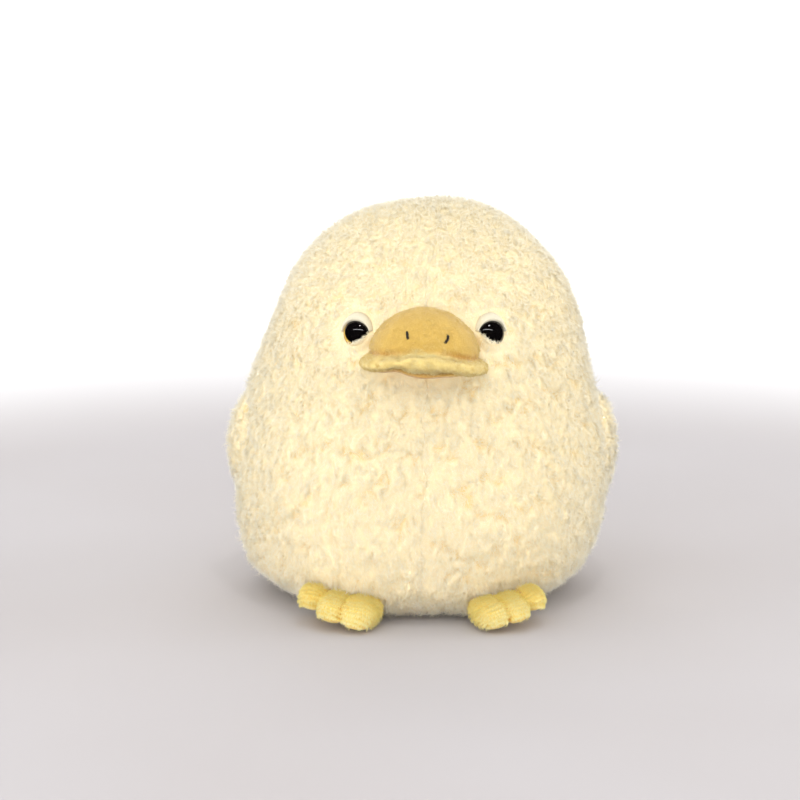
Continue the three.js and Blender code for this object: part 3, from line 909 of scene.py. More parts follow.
def sewGore(node, seam):
    outer, normals, loft = skinGrid(seam)
    every = bodyForm["insideEvery"]
    inner = (outer - normals * bodyForm["thickness"])[::every, ::every]
    points, faces = closedGrid(outer, inner, every)
    mesh = turnOutwards(meshFrom(node.replace("gore", "skin"), points, faces))
    inside = np.full(inner.shape[0] * inner.shape[1], 0.5)
    # the loft sets where the ground is painted darker as shade
    floatOn(mesh, "loft", np.concatenate([loft.ravel(), inside]))
    smooth = np.concatenate([normals.reshape(-1, 3), np.zeros_like(inner).reshape(-1, 3)])
    skins[node] = mesh, np.arange(len(points)) < outer.shape[0] * outer.shape[1], smooth
    return place(mesh.name, mesh, fleeceSkinFinish, "torso", [node])


for node, seam in gores.items():
    sewGore(node, seam)
print("skin gores sewn")

# small stuffed pieces


def stuffedForm(name, meshes, form):  # rough solids as one smooth, stuffed skin
    mesh = applied(joined(name, meshes), "REMESH", mode="VOXEL", voxel_size=form["voxel"])
    mesh = relaxed(outsideOf(mesh), form["rounds"])
    movePoints(mesh, puffed(mesh, form["pressure"], form["cap"]))
    mesh = relaxed(mesh, 1)
    return applied(mesh, "SUBSURF", levels=form["levels"])


def roundedBlock(name, middle, half, plan, section, columns=64, rows=32):  # 2 is round, more is boxier
    def bent(value, square):
        return np.sign(value) * np.abs(value) ** (2 / square)

    turns, rises = np.meshgrid(circle(columns), np.linspace(-math.pi / 2, math.pi / 2, rows + 2)[1:-1])
    reach = bent(np.cos(rises), section)
    across, ahead = reach * bent(np.cos(turns), plan), reach * bent(np.sin(turns), plan)
    ring = np.stack([across, ahead, bent(np.sin(rises), section)], -1)
    points = np.concatenate([ring.reshape(-1, 3), [[0, 0, -1], [0, 0, 1]]]) * half + middle
    index, quads = ringGrid(rows, columns)
    after, last = np.roll(index, -1, axis=1), len(points) - 1
    low = np.stack([after[0], index[0], 0 * index[0] + last - 1], -1)
    high = np.stack([index[-1], after[-1], 0 * index[0] + last], -1)
    return meshFrom(name, points, [quads, low, high])


# wings and tail, of the same fleece

wingForm = {
    "voxel": 1.3 * mm,
    "rounds": 3,  # of evening out
    "pressure": 4,
    "cap": 0.8 * mm,
    "levels": 2,
    "fill": 0.5,
    "strands": 4600,
    "length": 2.6 * mm,
    "root": 0.8 * mm,  # how far the sewn side goes into the body's fleece
    "sewn": (0.8 * mm, 2 * mm),  # what lies that close to the body is sewn on, fading out
    "plain": 2 * mm,  # the side that close to the body has no wool
    "tuftTries": 4000,
    "rim": 4 * mm,  # how far over the body the pile lies outwards, over the join
    "sweep": 0.8,
    "thinning": 1.5,  # over 1 thins the edge out on the body
    "hinge": 5 * mm,  # the pile is shorter that close to the hinge
    "pressed": 0.6,
}
tailForm = dict(wingForm, fill=0.6, strands=2800, root=3 * mm, rim=6 * mm, thinning=1.25)
loosePieces = {
    "left_wing": ("wing_left", ["left_wing", "left_wing_lining"], wingForm),
    "right_wing": ("wing_right", ["right_wing", "right_wing_lining"], wingForm),
    "tail": ("torso", ["tail"], tailForm),
}
pile = {
    "strands": 11800,  # in one piece
    "layers": 3,  # pieces for each gore
    "length": 2.9 * mm,
    "width": 0.17 * mm,
    "lengths": (0.6, 1.25),
    "lift": 0.7,
    "lifts": (0.6, 0.9),  # at the edge of a clump, and more in its middle
    "gather": 0.4,  # towards the middle of the clump
    "swirl": 0.55,
    "fall": 0.5,  # downwards
    "loose": 0.55,
    "stray": 0.025,  # share of long loose hairs
    "strayLength": 1.5,
    "strayLift": 1.2,
    "inGap": 0.6,  # shorter by that share in a crevice
    "pressed": 0.3,  # left of the length where the fleece lies pressed
    "tints": (0.7, 0.65, 0.6),  # by chance, darker in a crevice as painted shade, and less where pressed
    "floor": 0.4 * mm,
    "flat": 0.8,  # how far the strands are lit as one surface
    "even": 0.7,  # how far that surface is the plain form, without its tufts
    "room": 2.5 * mm,  # strands are short where something lies that close over them
    "billRoom": 1.4 * mm,  # none that close to the opened bill
    "hang": 0.8,  # longer by that share over the feet
    "hangFull": 2.5 * mm,
    "hangTo": 7 * mm,
    "seed": 21,
}
bodyTree = treeOf(*(skins[node][0] for node in gores))


def combed(points):  # pile lies away from the beads
    comb = np.zeros_like(points)
    for side in sides:
        way, away = aroundEye(points, side)[1:3]
        share = 1 - ease(faceForm["combFull"], faceForm["combTo"], away)
        comb += way * (faceForm["comb"] * share)[:, None]
    return comb


def growWool(name, samples, smooth, field, calm, length, body, seed, sweep=0, hang=0):
    rng = np.random.default_rng(seed)
    roots, out = samples.roots, samples.normals
    hang = hang + np.zeros(len(roots))
    edge, clump = field.read(roots)
    gap = creviceOf(roots, edge, crevices["strandWidth"])
    inwards = field.middles[clump] - roots
    inwards = unit(inwards - out * dot(inwards, out)) * (pile["gather"] + gap)[:, None]
    around = np.cross(out, unit(inwards)) * field.turn[clump][:, None]
    stray = rng.uniform(size=len(roots)) < pile["stray"] * (calm > 0.9)
    towards = inwards + around * pile["swirl"] - up * pile["fall"] + combed(roots) + sweep
    towards = towards - up * hang[:, None]
    kept = pile["pressed"] + (1 - pile["pressed"]) * calm
    lengths = length * rng.uniform(*pile["lengths"], len(roots)) * kept
    lengths = lengths * np.where(stray, pile["strayLength"], 1 - pile["inGap"] * gap)
    lengths = lengths * (1 + pile["hang"] * hang)
    atEdge, within = pile["lifts"]
    lift = pile["lift"] * (atEdge + within * np.sqrt(np.clip(edge, 0, 1)))
    lift = np.where(stray, pile["strayLift"], lift) * kept
    path = bentStrands(roots, out, towards, lengths, lift[:, None], pile["loose"], rng)
    path = [np.maximum(p, [-1, -1, pile["floor"]]) for p in path]
    width = pile["width"] * rng.uniform(*strandForm["widths"], len(roots))
    chance, inGap, pressed = pile["tints"]
    # in a crevice the tint runs darker: painted shade
    tint = rng.uniform(0, chance, len(roots)) + inGap * gap - pressed * (1 - calm)
    even = (pile["even"] + smoothHead["lit"] * onHead(roots))[:, None]
    mesh = strandMesh(name, path, width, tint, unit(out + even * smooth), pile["flat"])
    return place(name, mesh, fleecePileFinish, body)


def overFeet(samples, hidden):  # 1 close above the feet
    away = distanceTo(footTree, samples.roots)
    return np.where(hidden, 0, 1 - ease(pile["hangFull"], pile["hangTo"], away))


def thinned(mesh, power):  # lets a pad run out on the body, without a step at its edge
    points = pointsOf(mesh)
    feet = np.array([bodyTree.find_nearest(p)[0] for p in points.tolist()])
    over = np.linalg.norm(points - feet, axis=1)
    outside = dot(points - feet, points * [1, 1, 0])[:, 0] > 0
    share = np.where(outside, (over / over.max()) ** (power - 1), 1)
    movePoints(mesh, feet + (points - feet) * share[:, None])


def besideHinge(points, body, form):  # 1 on open fleece, less beside the edge that a wing turns about
    calm = np.ones(len(points))
    for joint in joints.values():
        if joint["child"] == body:
            axis = unit(np.array(joint["axis"]))
            away = np.linalg.norm(np.cross(points - joint["pos_m"], axis), axis=1)
            calm = calm - form["pressed"] * (1 - ease(0.3 * form["hinge"], form["hinge"], away))
    return calm


def makeLoose(name, body, nodes, form):
    source = joined(name, [nodeMesh(n) for n in nodes])
    points = pointsOf(source)
    sewnSide = 1 - ease(*form["sewn"], distanceTo(bodyTree, points))
    movePoints(source, points - unit(points * [1, 1, 0]) * (form["root"] * sewnSide)[:, None])
    mesh = stuffedForm(name, [source], form)
    thinned(mesh, form["thinning"])
    rng = np.random.default_rng(seedOf(name))
    field = TuftField(Samples(mesh, form["tuftTries"], rng).roots, tufts)
    points, normals = pointsOf(mesh), normalsOf(mesh)
    over = distanceTo(bodyTree, points)
    free = 1 - hump(over, 0, form["plain"])
    rise, loft = woolRise(points, field)
    movePoints(mesh, points + normals * (rise * free)[:, None])
    floatOn(mesh, "loft", loft)
    place(name + "_skin", mesh, fleeceSkinFinish, body, nodes)
    samples = Samples(mesh, form["strands"], rng, ease(0.02, 0.2, free))
    onRim = 1 - ease(0.3 * form["rim"], form["rim"], samples.read(over))
    sweep = unit(samples.roots - points.mean(0)) * (form["sweep"] * onRim)[:, None]
    calm, smooth = besideHinge(samples.roots, body, form), samples.read(normals)
    growWool(name + "_pile", samples, smooth, field, calm, form["length"], body, len(name), sweep)
    return mesh


looseMeshes = {name: makeLoose(name, *facts) for name, facts in loosePieces.items()}
print("wings and tail made")

# bill

billForm = {
    "voxel": 0.8 * mm,
    "rounds": 3,
    "pressure": 4,
    "cap": 0.5 * mm,
    "levels": 2,
    "reach": 20 * mm,  # of the band, from where it meets the face
    "bandHeight": 6.6 * mm,
    "bandRise": 0.4 * mm,  # over the lower edge in CAD
    "bandShape": (2.3, 2.6),  # plan and section of a rounded block
    "droop": 2.8 * mm,
    "lean": 1.9 * mm,  # one end hangs lower, between these places
    "leanFrom": 4 * mm,
    "leanFull": 19 * mm,
    "edgeWaves": ((1.4 * mm, -9 * mm, 4 * mm), (-0.9 * mm, 2 * mm, 7 * mm)),  # height, place and width
    "domeShape": (2.1, 1.9),
    "domeWidth": 0.86,  # of the band's width
    "domeReach": 0.78,
    "domeDrop": 0.7 * mm,
    "strands": 12000,
    "length": 1.0 * mm,
    "edgeLength": 1.8 * mm,
    "lengths": (0.6, 1.2),
    "pileFrom": (3 * mm, -2 * mm),  # ahead of where the band is widest
    "pileShare": (0.55, 0.45),  # on the dome, and more on the band
    "foldBare": 0.7,
    "shagTop": (0.45, 0.95),  # of the band's height
    "fall": (0, -0.5, -0.8),
    "tangle": (0.5, 0.8),  # everywhere, and more in the middle of the band
    "tangleSize": 1.5 * mm,
    "lifts": (0.3, 0.7),
    "loose": 0.4,
    "mottles": ((0.13, 0.9 * mm), (0.07, 2 * mm)),  # everywhere, and on the band
    "tints": (0.25, 0.25, 0.4),  # by chance, on the band and in its middle
    "bandTop": (0.35, 0.65),  # of its height
    "bandFoot": (-0.4, 0.4),
    "waveFrom": (-2 * mm, -9 * mm),
    "domeLumps": 0.4,  # of those on the band, to which they add
    "foldDepth": 0.5 * mm,
    "foldWidth": 0.9 * mm,
    "front": (-1 * mm, 9 * mm),  # place and width of the unfolded, shaggy middle
    "lumps": ((0.17 * mm, 4 * mm, 51), (0.04 * mm, 1.8 * mm, 54)),  # height, size and seed
    "width": 0.13 * mm,
}
lowerBillForm = {
    "voxel": 0.8 * mm,
    "rounds": 3,
    "pressure": 2,
    "cap": 0.25 * mm,
    "levels": 1,
    "wave": 0.8,  # of the band's edge
    "tuck": 3 * mm,  # one end is tucked in, between these places
    "tuckFrom": -5 * mm,
    "tuckFull": -13 * mm,
    "lumps": 0.1 * mm,
    "lumpSize": 4 * mm,
    "pale": 0.3,
    "paleSize": 6 * mm,
}
billColours = {
    "shade": srgb(186, 140, 58),
    "dome": srgb(208, 172, 82),
    "edge": srgb(238, 216, 140),
    "root": srgb(198, 158, 72),
    "otherRoot": srgb(232, 204, 128),
    "tip": srgb(216, 181, 92),
    "otherTip": srgb(253, 240, 180),
    # painted shade: the lower bill is coloured darker and oranger, as it lies under the upper bill
    "under": srgb(200, 154, 80),
    "roughness": 0.8,
    "sheen": 0.35,
}
velour = {
    "cloudSize": 5 * mm,
    "cloud": 0.35,  # how much darker, where the noise is over this
    "cloudFrom": 0.3,
    "grainSize": 0.45 * mm,
    "grain": 0.5,
    "grainFrom": 0.4,
    "grainDepth": 0.25 * mm,
}


def velourGround(name, deep, plain, pale):  # short-cut pile cloth, paler on the band
    look = Finish(name, roughness=billColours["roughness"], sheenWeight=billColours["sheen"])
    cloudy = look.spots(velour["cloudSize"], 2)
    grain = look.spots(velour["grainSize"], 3)
    shade = look.mix(look.read("band"), plain, pale)
    clouds = (cloudy - velour["cloudFrom"]) * velour["cloud"]
    # the fold mask adds painted shade in creases; the clouds and grain are random tone
    dark = clouds + (grain - velour["grainFrom"]) * velour["grain"] + look.read("fold")
    look.set(baseColor=look.mix(dark, shade, deep))
    look.bump(grain, velour["grainDepth"])
    return look.material


billGroundFinish = velourGround("billVelour", *(billColours[n] for n in ("shade", "dome", "edge")))
billPileFinish = strandFinish("billPile", billColours)
# the lower bill's colour holds painted shade from the upper bill
lowerBillFinish = velourGround("lowerBillVelour", *(billColours[n] for n in ("shade", "under", "dome")))


def edgeWave(x):  # the band's lower edge lifts on one side of the middle and hangs at the middle
    return sum(height * hump(x, at, width) for height, at, width in billForm["edgeWaves"])


def bandDrop(x, wide):
    side = ease(billForm["leanFrom"], billForm["leanFull"], x)
    return billForm["droop"] * (x / wide) ** 2 + billForm["lean"] * side


def billBlocks():  # a dome standing on a blunt, drooping band
    low, high = (np.array(corner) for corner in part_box("upper_bill"))
    wide, reach, half = high[0], billForm["reach"], billForm["bandHeight"] / 2
    seat = np.array([0, low[1] + reach, low[2] + billForm["bandRise"] + half])
    band = roundedBlock("band", seat, np.array([wide, reach, half]), *billForm["bandShape"])
    points = pointsOf(band)
    points[:, 2] -= bandDrop(points[:, 0], wide)
    movePoints(band, np.minimum(points, [1, high[1], 1]))
    rise = high[2] - billForm["domeDrop"] - seat[2]
    size = np.array([wide * billForm["domeWidth"], reach * billForm["domeReach"], rise])
    dome = roundedBlock("dome", seat, size, *billForm["domeShape"])
    points = np.minimum(pointsOf(dome), [1, high[1], 1])
    movePoints(dome, np.maximum(points, [-1, -1, seat[2] - half / 2]))
    return [band, dome], seat, wide


def makeBill():
    nodes = ["upper_bill", "bill_stuffing"]
    blocks, seat, wide = billBlocks()
    mesh = stuffedForm("upper_bill", blocks, billForm)
    points, normals = pointsOf(mesh), normalsOf(mesh)
    over = points[:, 2] - seat[2] + bandDrop(points[:, 0], wide)
    tall = billForm["bandHeight"]
    band = 1 - ease(*(k * tall for k in billForm["bandTop"]), over)
    low = 1 - ease(*(k * tall for k in billForm["bandFoot"]), over)
    ahead = ease(*(seat[1] + k for k in billForm["waveFrom"]), points[:, 1])
    fold = hump(over, 0.5 * tall, billForm["foldWidth"]) * (1 - hump(points[:, 0], *billForm["front"]))
    sway = sum(height * ripple(points, size, seed) for height, size, seed in billForm["lumps"])
    sway = sway * (billForm["domeLumps"] + band) - billForm["foldDepth"] * fold
    moved = points + normals * sway[:, None]
    moved[:, 2] += edgeWave(points[:, 0]) * low * ahead
    movePoints(mesh, moved)
    floatOn(mesh, "band", band)
    # the fold also darkens the velour: painted shade in the crease between dome and band
    floatOn(mesh, "fold", fold)
    skin = place("upper_bill_skin", mesh, billGroundFinish, "torso", nodes)
    strands = growBillPile(mesh, band, fold, seat)
    for piece in (skin, strands):
        piece.visible_glossy = False  # the beads mirror the lamps only
    return mesh


def growBillPile(mesh, band, fold, seat):
    rng = np.random.default_rng(61)
    share = ease(*(seat[1] + k for k in billForm["pileFrom"]), pointsOf(mesh)[:, 1])
    least, more = billForm["pileShare"]
    share = share * (least + more * band) * (1 - billForm["foldBare"] * fold)
    samples = Samples(mesh, billForm["strands"], rng, share)
    onBand, roots, out = samples.read(band), samples.roots, samples.normals
    low = 1 - ease(*billForm["shagTop"], (roots[:, 2] - seat[2]) / billForm["bandHeight"])
    middle = low * hump(roots[:, 0], *billForm["front"])
    length = billForm["length"] + (billForm["edgeLength"] - billForm["length"]) * middle
    length = length * rng.uniform(*billForm["lengths"], len(roots))
    least, more = billForm["tangle"]
    tangle = (least + more * middle[:, None]) * drift(roots, billForm["tangleSize"], 62)
    least, more = billForm["lifts"]
    lift = (least + more * middle)[:, None]
    towards = np.array(billForm["fall"]) + tangle
    path = bentStrands(roots, out, towards, length, lift, billForm["loose"], rng)
    width = billForm["width"] * rng.uniform(*strandForm["widths"], len(roots))
    (fine, fineSize), (broad, broadSize) = billForm["mottles"]
    mottle = fine * ripple(roots, fineSize, 63) + broad * onBand * ripple(roots, broadSize, 64)
    chance, paleBand, paleMiddle = billForm["tints"]
    tint = chance * rng.uniform(size=len(roots)) + paleBand * onBand + paleMiddle * middle + mottle
    strands = strandMesh("upper_bill_pile", path, width, tint, out)
    return place("upper_bill_pile", strands, billPileFinish, "torso")


def makeLowerBill():
    form = lowerBillForm
    mesh = stuffedForm("lower_bill", [nodeMesh("lower_bill")], form)
    points = pointsOf(mesh)
    points[:, 2] += edgeWave(points[:, 0]) * form["wave"]
    points[:, 1] += form["tuck"] * ease(form["tuckFrom"], form["tuckFull"], points[:, 0])
    lumps = form["lumps"] * ripple(points, form["lumpSize"], 52)
    movePoints(mesh, points + normalsOf(mesh) * lumps[:, None])
    floatOn(mesh, "band", form["pale"] + form["pale"] * ripple(points, form["paleSize"], 53))
    place("lower_bill_skin", mesh, lowerBillFinish, "bill_lower", ["lower_bill"])
    return mesh


billMesh = makeBill()
lowerBillMesh = makeLowerBill()
print("bill made")

# threads

threadForm = {
    "nostril": 0.5 * mm,  # radius
    "toe": 0.4 * mm,
    "pitch": 1.1 * mm,
    "step": 0.12 * mm,
    "apart": 0.45,  # of the radius, from the thread's middle to a ply's
    "ply": 0.6,
    "sides": 8,
    "proud": 0.25 * mm,
    "sunk": 0.8 * mm,  # both ends of a nostril
    "toeSteps": 6,
}


def twist(name, path, radius, finish, body, replaced):  # two plies laid round each other
    path = np.asarray(path, float)
    length = np.concatenate([[0], np.cumsum(np.linalg.norm(np.diff(path, axis=0), axis=1))])
    count = max(12, int(length[-1] / threadForm["step"]))
    along = np.linspace(0, length[-1], count)
    fine = np.stack([np.interp(along, length, path[:, k]) for k in range(3)], 1)
    heading = unit(np.gradient(fine, axis=0))
    side = unit(np.cross(heading, unit(np.array([0.3, 1.0, 0.2]))))
    other = np.cross(heading, side)
    points, faces = [], []
    for ply in (0, 1):
        turn = along * 2 * math.pi / threadForm["pitch"] + math.pi * ply
        aside = side * np.cos(turn)[:, None] + other * np.sin(turn)[:, None]
        core = fine + radius * threadForm["apart"] * aside
        thin = np.sqrt(np.clip(np.minimum(np.arange(count), np.arange(count)[::-1]) / 2 + 0.15, 0, 1))
        reach = (radius * threadForm["ply"] * thin)[:, None]
        ring = circle(threadForm["sides"])
        tube = np.stack([core + reach * (side * math.cos(k) + other * math.sin(k)) for k in ring], 1)
        index, quads = ringGrid(count, threadForm["sides"], sum(map(len, points)))
        faces += quads.tolist()
        for end in (index[0], index[-1]):
            faces += [end[:4].tolist(), end[[0, 3, 4, 7]].tolist(), end[4:].tolist()]
        points.append(tube.reshape(-1, 3))
    mesh = turnOutwards(meshFrom(name, np.concatenate(points), [np.array(faces)]))
    return place(name, mesh, finish, body, replaced)


def threadFinish(name, dark, light):
    look = Finish(name, roughness=0.6, sheenWeight=0.2)
    fibre = look.spots(0.12 * mm, 3, stretch=(1, 1, 0.3))
    look.set(baseColor=look.mix(fibre, dark, light))
    look.bump(fibre, 0.05 * mm)
    return look.material


darkThread = threadFinish("darkThread", srgb(18, 14, 12), srgb(58, 46, 36))
yellowThread = threadFinish("yellowThread", srgb(196, 140, 52), srgb(226, 176, 84))
nostrils = {  # across and up from the middle of the CAD stitch, in mm, seen from the front
    "right": [(1.2, 1.5), (1.25, 0.8), (1.3, 0), (1.4, -0.8)],
    "left": [(0.7, 0.5), (1.1, -0.1), (0.9, -0.8), (0.3, -1.5), (-0.2, -1.9)],
}


def makeNostril(side):
    node = f"{side}_nostril_stitch"
    middle = middleOf(node)
    tree = treeOf(billMesh)
    path = []
    for across, rise in nostrils[side]:
        seat = Vector((middle.x + across * mm, -0.2, middle.z + rise * mm))
        hit, normal = tree.ray_cast(seat, Vector((0, 1, 0)))[:2]
        path.append(hit + normal * threadForm["proud"])
    for end in (0, -1):
        path[end] = path[end] + Vector((0, threadForm["sunk"], 0))
    name, radius = node.replace("stitch", "thread"), threadForm["nostril"]
    twist(name, path, radius, darkThread, "torso", [node])


for side in sides:
    makeNostril(side)

# eyes and lids

eyeForm = {
    "radius": 5 * mm,
    "dome": 4.4 * mm,
    "rings": 22,
    "sides": 64,
    "skirt": ((5.3, 0.1), (5.3, 0.7), (4.6, 0.9), (0.6, 0.9)),  # radius, and depth under the dome, in mm
    "pupil": {"left": 5.2 * mm, "right": 4.6 * mm},
    "slide": {"left": 0.4 * mm, "right": 1.1 * mm},  # of the pupil, towards the bill
    "rise": {"left": 0.4 * mm, "right": 0.8 * mm},
    "black": srgb(10, 8, 8),
    "amber": srgb(214, 182, 70),
    "darkAmber": srgb(160, 112, 30),
    "pupilEdge": (0.97, 1.03),
    "fleckSize": 0.5 * mm,
    "gloss": 0.03,  # roughness, and more where scuffed
    "scuff": 0.05,
    "scuffSize": 1.5 * mm,
}


def beadFinish():  # clear moulded dome over a black pupil and an amber ring
    look = Finish("beadPlastic", specularIorLevel=0.8)
    where = look.node("ShaderNodeAttribute", {"attribute_name": "bead"}, out="Vector")
    edge = look.fade(where, *eyeForm["pupilEdge"])
    flecks = look.mix(look.spots(eyeForm["fleckSize"], 2), eyeForm["darkAmber"], eyeForm["amber"])
    look.set(baseColor=look.mix(edge, eyeForm["black"], flecks))
    look.set(roughness=look.spots(eyeForm["scuffSize"], 3) * eyeForm["scuff"] + eyeForm["gloss"])
    return look.material


def makeEye(side, finish):
    crown, across, above, heading = eyeAxes(side)
    rings, turns = np.linspace(0, math.pi / 2, eyeForm["rings"])[1:], circle(eyeForm["sides"])
    skirt, low = np.array(eyeForm["skirt"]) * mm, eyeForm["dome"]
    radius = np.concatenate([eyeForm["radius"] * np.sin(rings), skirt[:, 0]])
    depth = np.concatenate([low * (1 - np.cos(rings)), low + skirt[:, 1]])
    flat = np.stack([radius[:, None] * np.cos(turns), radius[:, None] * np.sin(turns)], -1)
    tube = crown + flat[..., :1] * across + flat[..., 1:] * above - depth[:, None, None] * heading
    points = np.concatenate([[crown], tube.reshape(-1, 3)])
    index, quads = ringGrid(len(radius), eyeForm["sides"], 1)
    fan = np.stack([0 * index[0], index[0], np.roll(index[0], -1)], -1)
    mesh = turnOutwards(meshFrom(f"{side}_eye_bead", points, [turnedOver(quads), fan, index[-1:]]))
    slide = np.array([eyeForm["slide"][side], eyeForm["rise"][side]])
    local = (np.concatenate([[[0, 0]], flat.reshape(-1, 2)]) - slide) / eyeForm["pupil"][side]
    vectorOn(mesh, "bead", np.concatenate([local, np.zeros((len(points), 1))], 1))
    place(mesh.name, mesh, finish, "torso", [f"{side}_eye"])
    return mesh


lidForm = {
    "halfWidth": 4.7 * mm,  # of the lower edge, which follows the bead
    "sill": 3.9 * mm,
    "outerHalfWidth": 6.0 * mm,
    "top": 7.2 * mm,
    "ends": 6,  # degrees over the middle of the eye
    "proud": 0.5 * mm,  # of the bead
    "drop": 3.9 * mm,  # of the outer edge, from the top of the bead
    "puff": 0.5 * mm,
    "thickness": 0.5 * mm,
    "tilt": 4,  # degrees, outer end down
    "roll": 0.35 * mm,  # of the lower edge, towards the bead
    "lumps": 0.1 * mm,
    "columns": 61,
    "rows": 25,
    "dark": srgb(208, 200, 174),
    "light": srgb(224, 217, 192),
    # painted shadow along the lid's upper edge, where it meets the fleece
    "fold": srgb(190, 164, 116),
}


def lidFinish():
    look = Finish("lidCloth", roughness=0.85, sheenWeight=0.3)
    nap = look.spots(0.35 * mm, 3)
    shade = look.mix(nap * 0.5 + look.spots(3 * mm, 2) * 0.4, lidForm["dark"], lidForm["light"])
    # the fold colour is a painted shadow along the upper edge
    look.set(baseColor=look.mix(look.read("fold"), shade, lidForm["fold"]))
    look.bump(nap, 0.15 * mm)
    return look.material


def makeLid(side, finish):  # a padded hood that follows the bead
    crown, level, upright, heading = eyeAxes(side)
    tilt, ends = math.radians(lidForm["tilt"]), math.radians(lidForm["ends"])
    across = level * math.cos(tilt) + upright * math.sin(tilt)
    above = upright * math.cos(tilt) - level * math.sin(tilt)
    arch = np.linspace(ends, math.pi - ends, lidForm["columns"])[:, None]
    share = np.linspace(0, 1, lidForm["rows"])[None]
    low = np.stack([lidForm["halfWidth"] * np.cos(arch), lidForm["sill"] * np.sin(arch)], -1)
    high = np.stack([lidForm["outerHalfWidth"] * np.cos(arch), lidForm["top"] * np.sin(arch)], -1)
    flat = low * (1 - share[..., None]) + high * share[..., None]
    inBead = np.linalg.norm(low, axis=-1) / eyeForm["radius"]
    sill = eyeForm["dome"] * (1 - np.sqrt(1 - inBead**2)) - lidForm["proud"]
    depth = sill * (1 - share**2) + lidForm["drop"] * share**2 - lidForm["puff"] * np.sin(math.pi * share)
    depth = depth + lidForm["roll"] * (1 - ease(0, 0.15, share))
    depth = depth + lidForm["lumps"] * ripple(np.concatenate([flat, 0 * flat[..., :1]], -1), 2.5 * mm, 55)
    outer = crown + flat[..., :1] * across + flat[..., 1:] * above - depth[..., None] * heading
    inner = outer - heading * lidForm["thickness"]
    points, faces = closedGrid(outer, inner, 1)
    mesh = turnOutwards(meshFrom(f"{side}_lid", points, faces))
    # mask of the painted shadow along the lid's upper edge
    fold = np.broadcast_to(ease(0.7, 1.0, share) * 0.6, depth.shape).ravel()
    floatOn(mesh, "fold", np.concatenate([fold, fold]))
    place(mesh.name, mesh, finish, "torso", [f"{side}_eyelid"])
    return mesh


fringeForm = {
    "strands": 210,
    "middle": math.atan2(*faceForm["lowInner"][::-1]),
    "spread": 0.6,
    "length": 2.1 * mm,
    "lengths": (0.4, 1.2),
    "depth": 0.7 * mm,  # of the band it grows in
    "lift": 0.5,
    "loose": 0.3,
    "width": 0.16 * mm,
    "tints": (0.5, 1),
    "search": (6.6, 2, -0.1),  # mm from the bead's middle, and the step inwards
    "searchFrom": 20 * mm,  # in front of the bead
}


def beadEdge(side, turn, beadTree):  # where the fleece meets the bead, on a line out from its middle
    crown, across, above, heading = eyeAxes(side)
    way = across * math.cos(turn) + above * math.sin(turn)
    edge = None
    for away in np.arange(*fringeForm["search"]) * mm:
        start = Vector(crown + way * away + heading * fringeForm["searchFrom"])
        skin, _, _, depth = bodyTree.ray_cast(start, Vector(-heading))
        beadDepth = beadTree.ray_cast(start, Vector(-heading))[3]
        if skin is None or (beadDepth is not None and beadDepth < depth):
            break
        edge = skin
    return edge, way


def growFringe(side, bead):  # fleece that stands over the lower, inner edge of a bead
    heading = eyes[side][1]
    rng = np.random.default_rng(95 + sides[side])
    beadTree = treeOf(bead)
    turns = rng.normal(fringeForm["middle"], fringeForm["spread"], fringeForm["strands"])
    found = [beadEdge(side, turn, beadTree) for turn in turns]
    edges, ways = (np.array([pair[k] for pair in found if pair[0] is not None]) for k in (0, 1))
    count = len(edges)
    roots = edges + ways * rng.uniform(0, fringeForm["depth"], (count, 1))
    out = np.broadcast_to(heading, roots.shape)
    lengths = fringeForm["length"] * rng.uniform(*fringeForm["lengths"], count)
    lift = np.full((count, 1), fringeForm["lift"])
    path = bentStrands(roots, out, -ways, lengths, lift, fringeForm["loose"], rng)
    width = fringeForm["width"] * rng.uniform(*strandForm["widths"], count)
    tint = rng.uniform(*fringeForm["tints"], count)
    mesh = strandMesh(f"{side}_eye_fringe", path, width, tint, out, pile["flat"])
    place(mesh.name, mesh, fleecePileFinish, "torso")


beadLook, lidLook = beadFinish(), lidFinish()
eyeMeshes = [makeEye(side, beadLook) for side in sides]
lidMeshes = [makeLid(side, lidLook) for side in sides]
for side, bead in zip(sides, eyeMeshes):
    growFringe(side, bead)
print("eyes, lids and nostrils made")

# feet

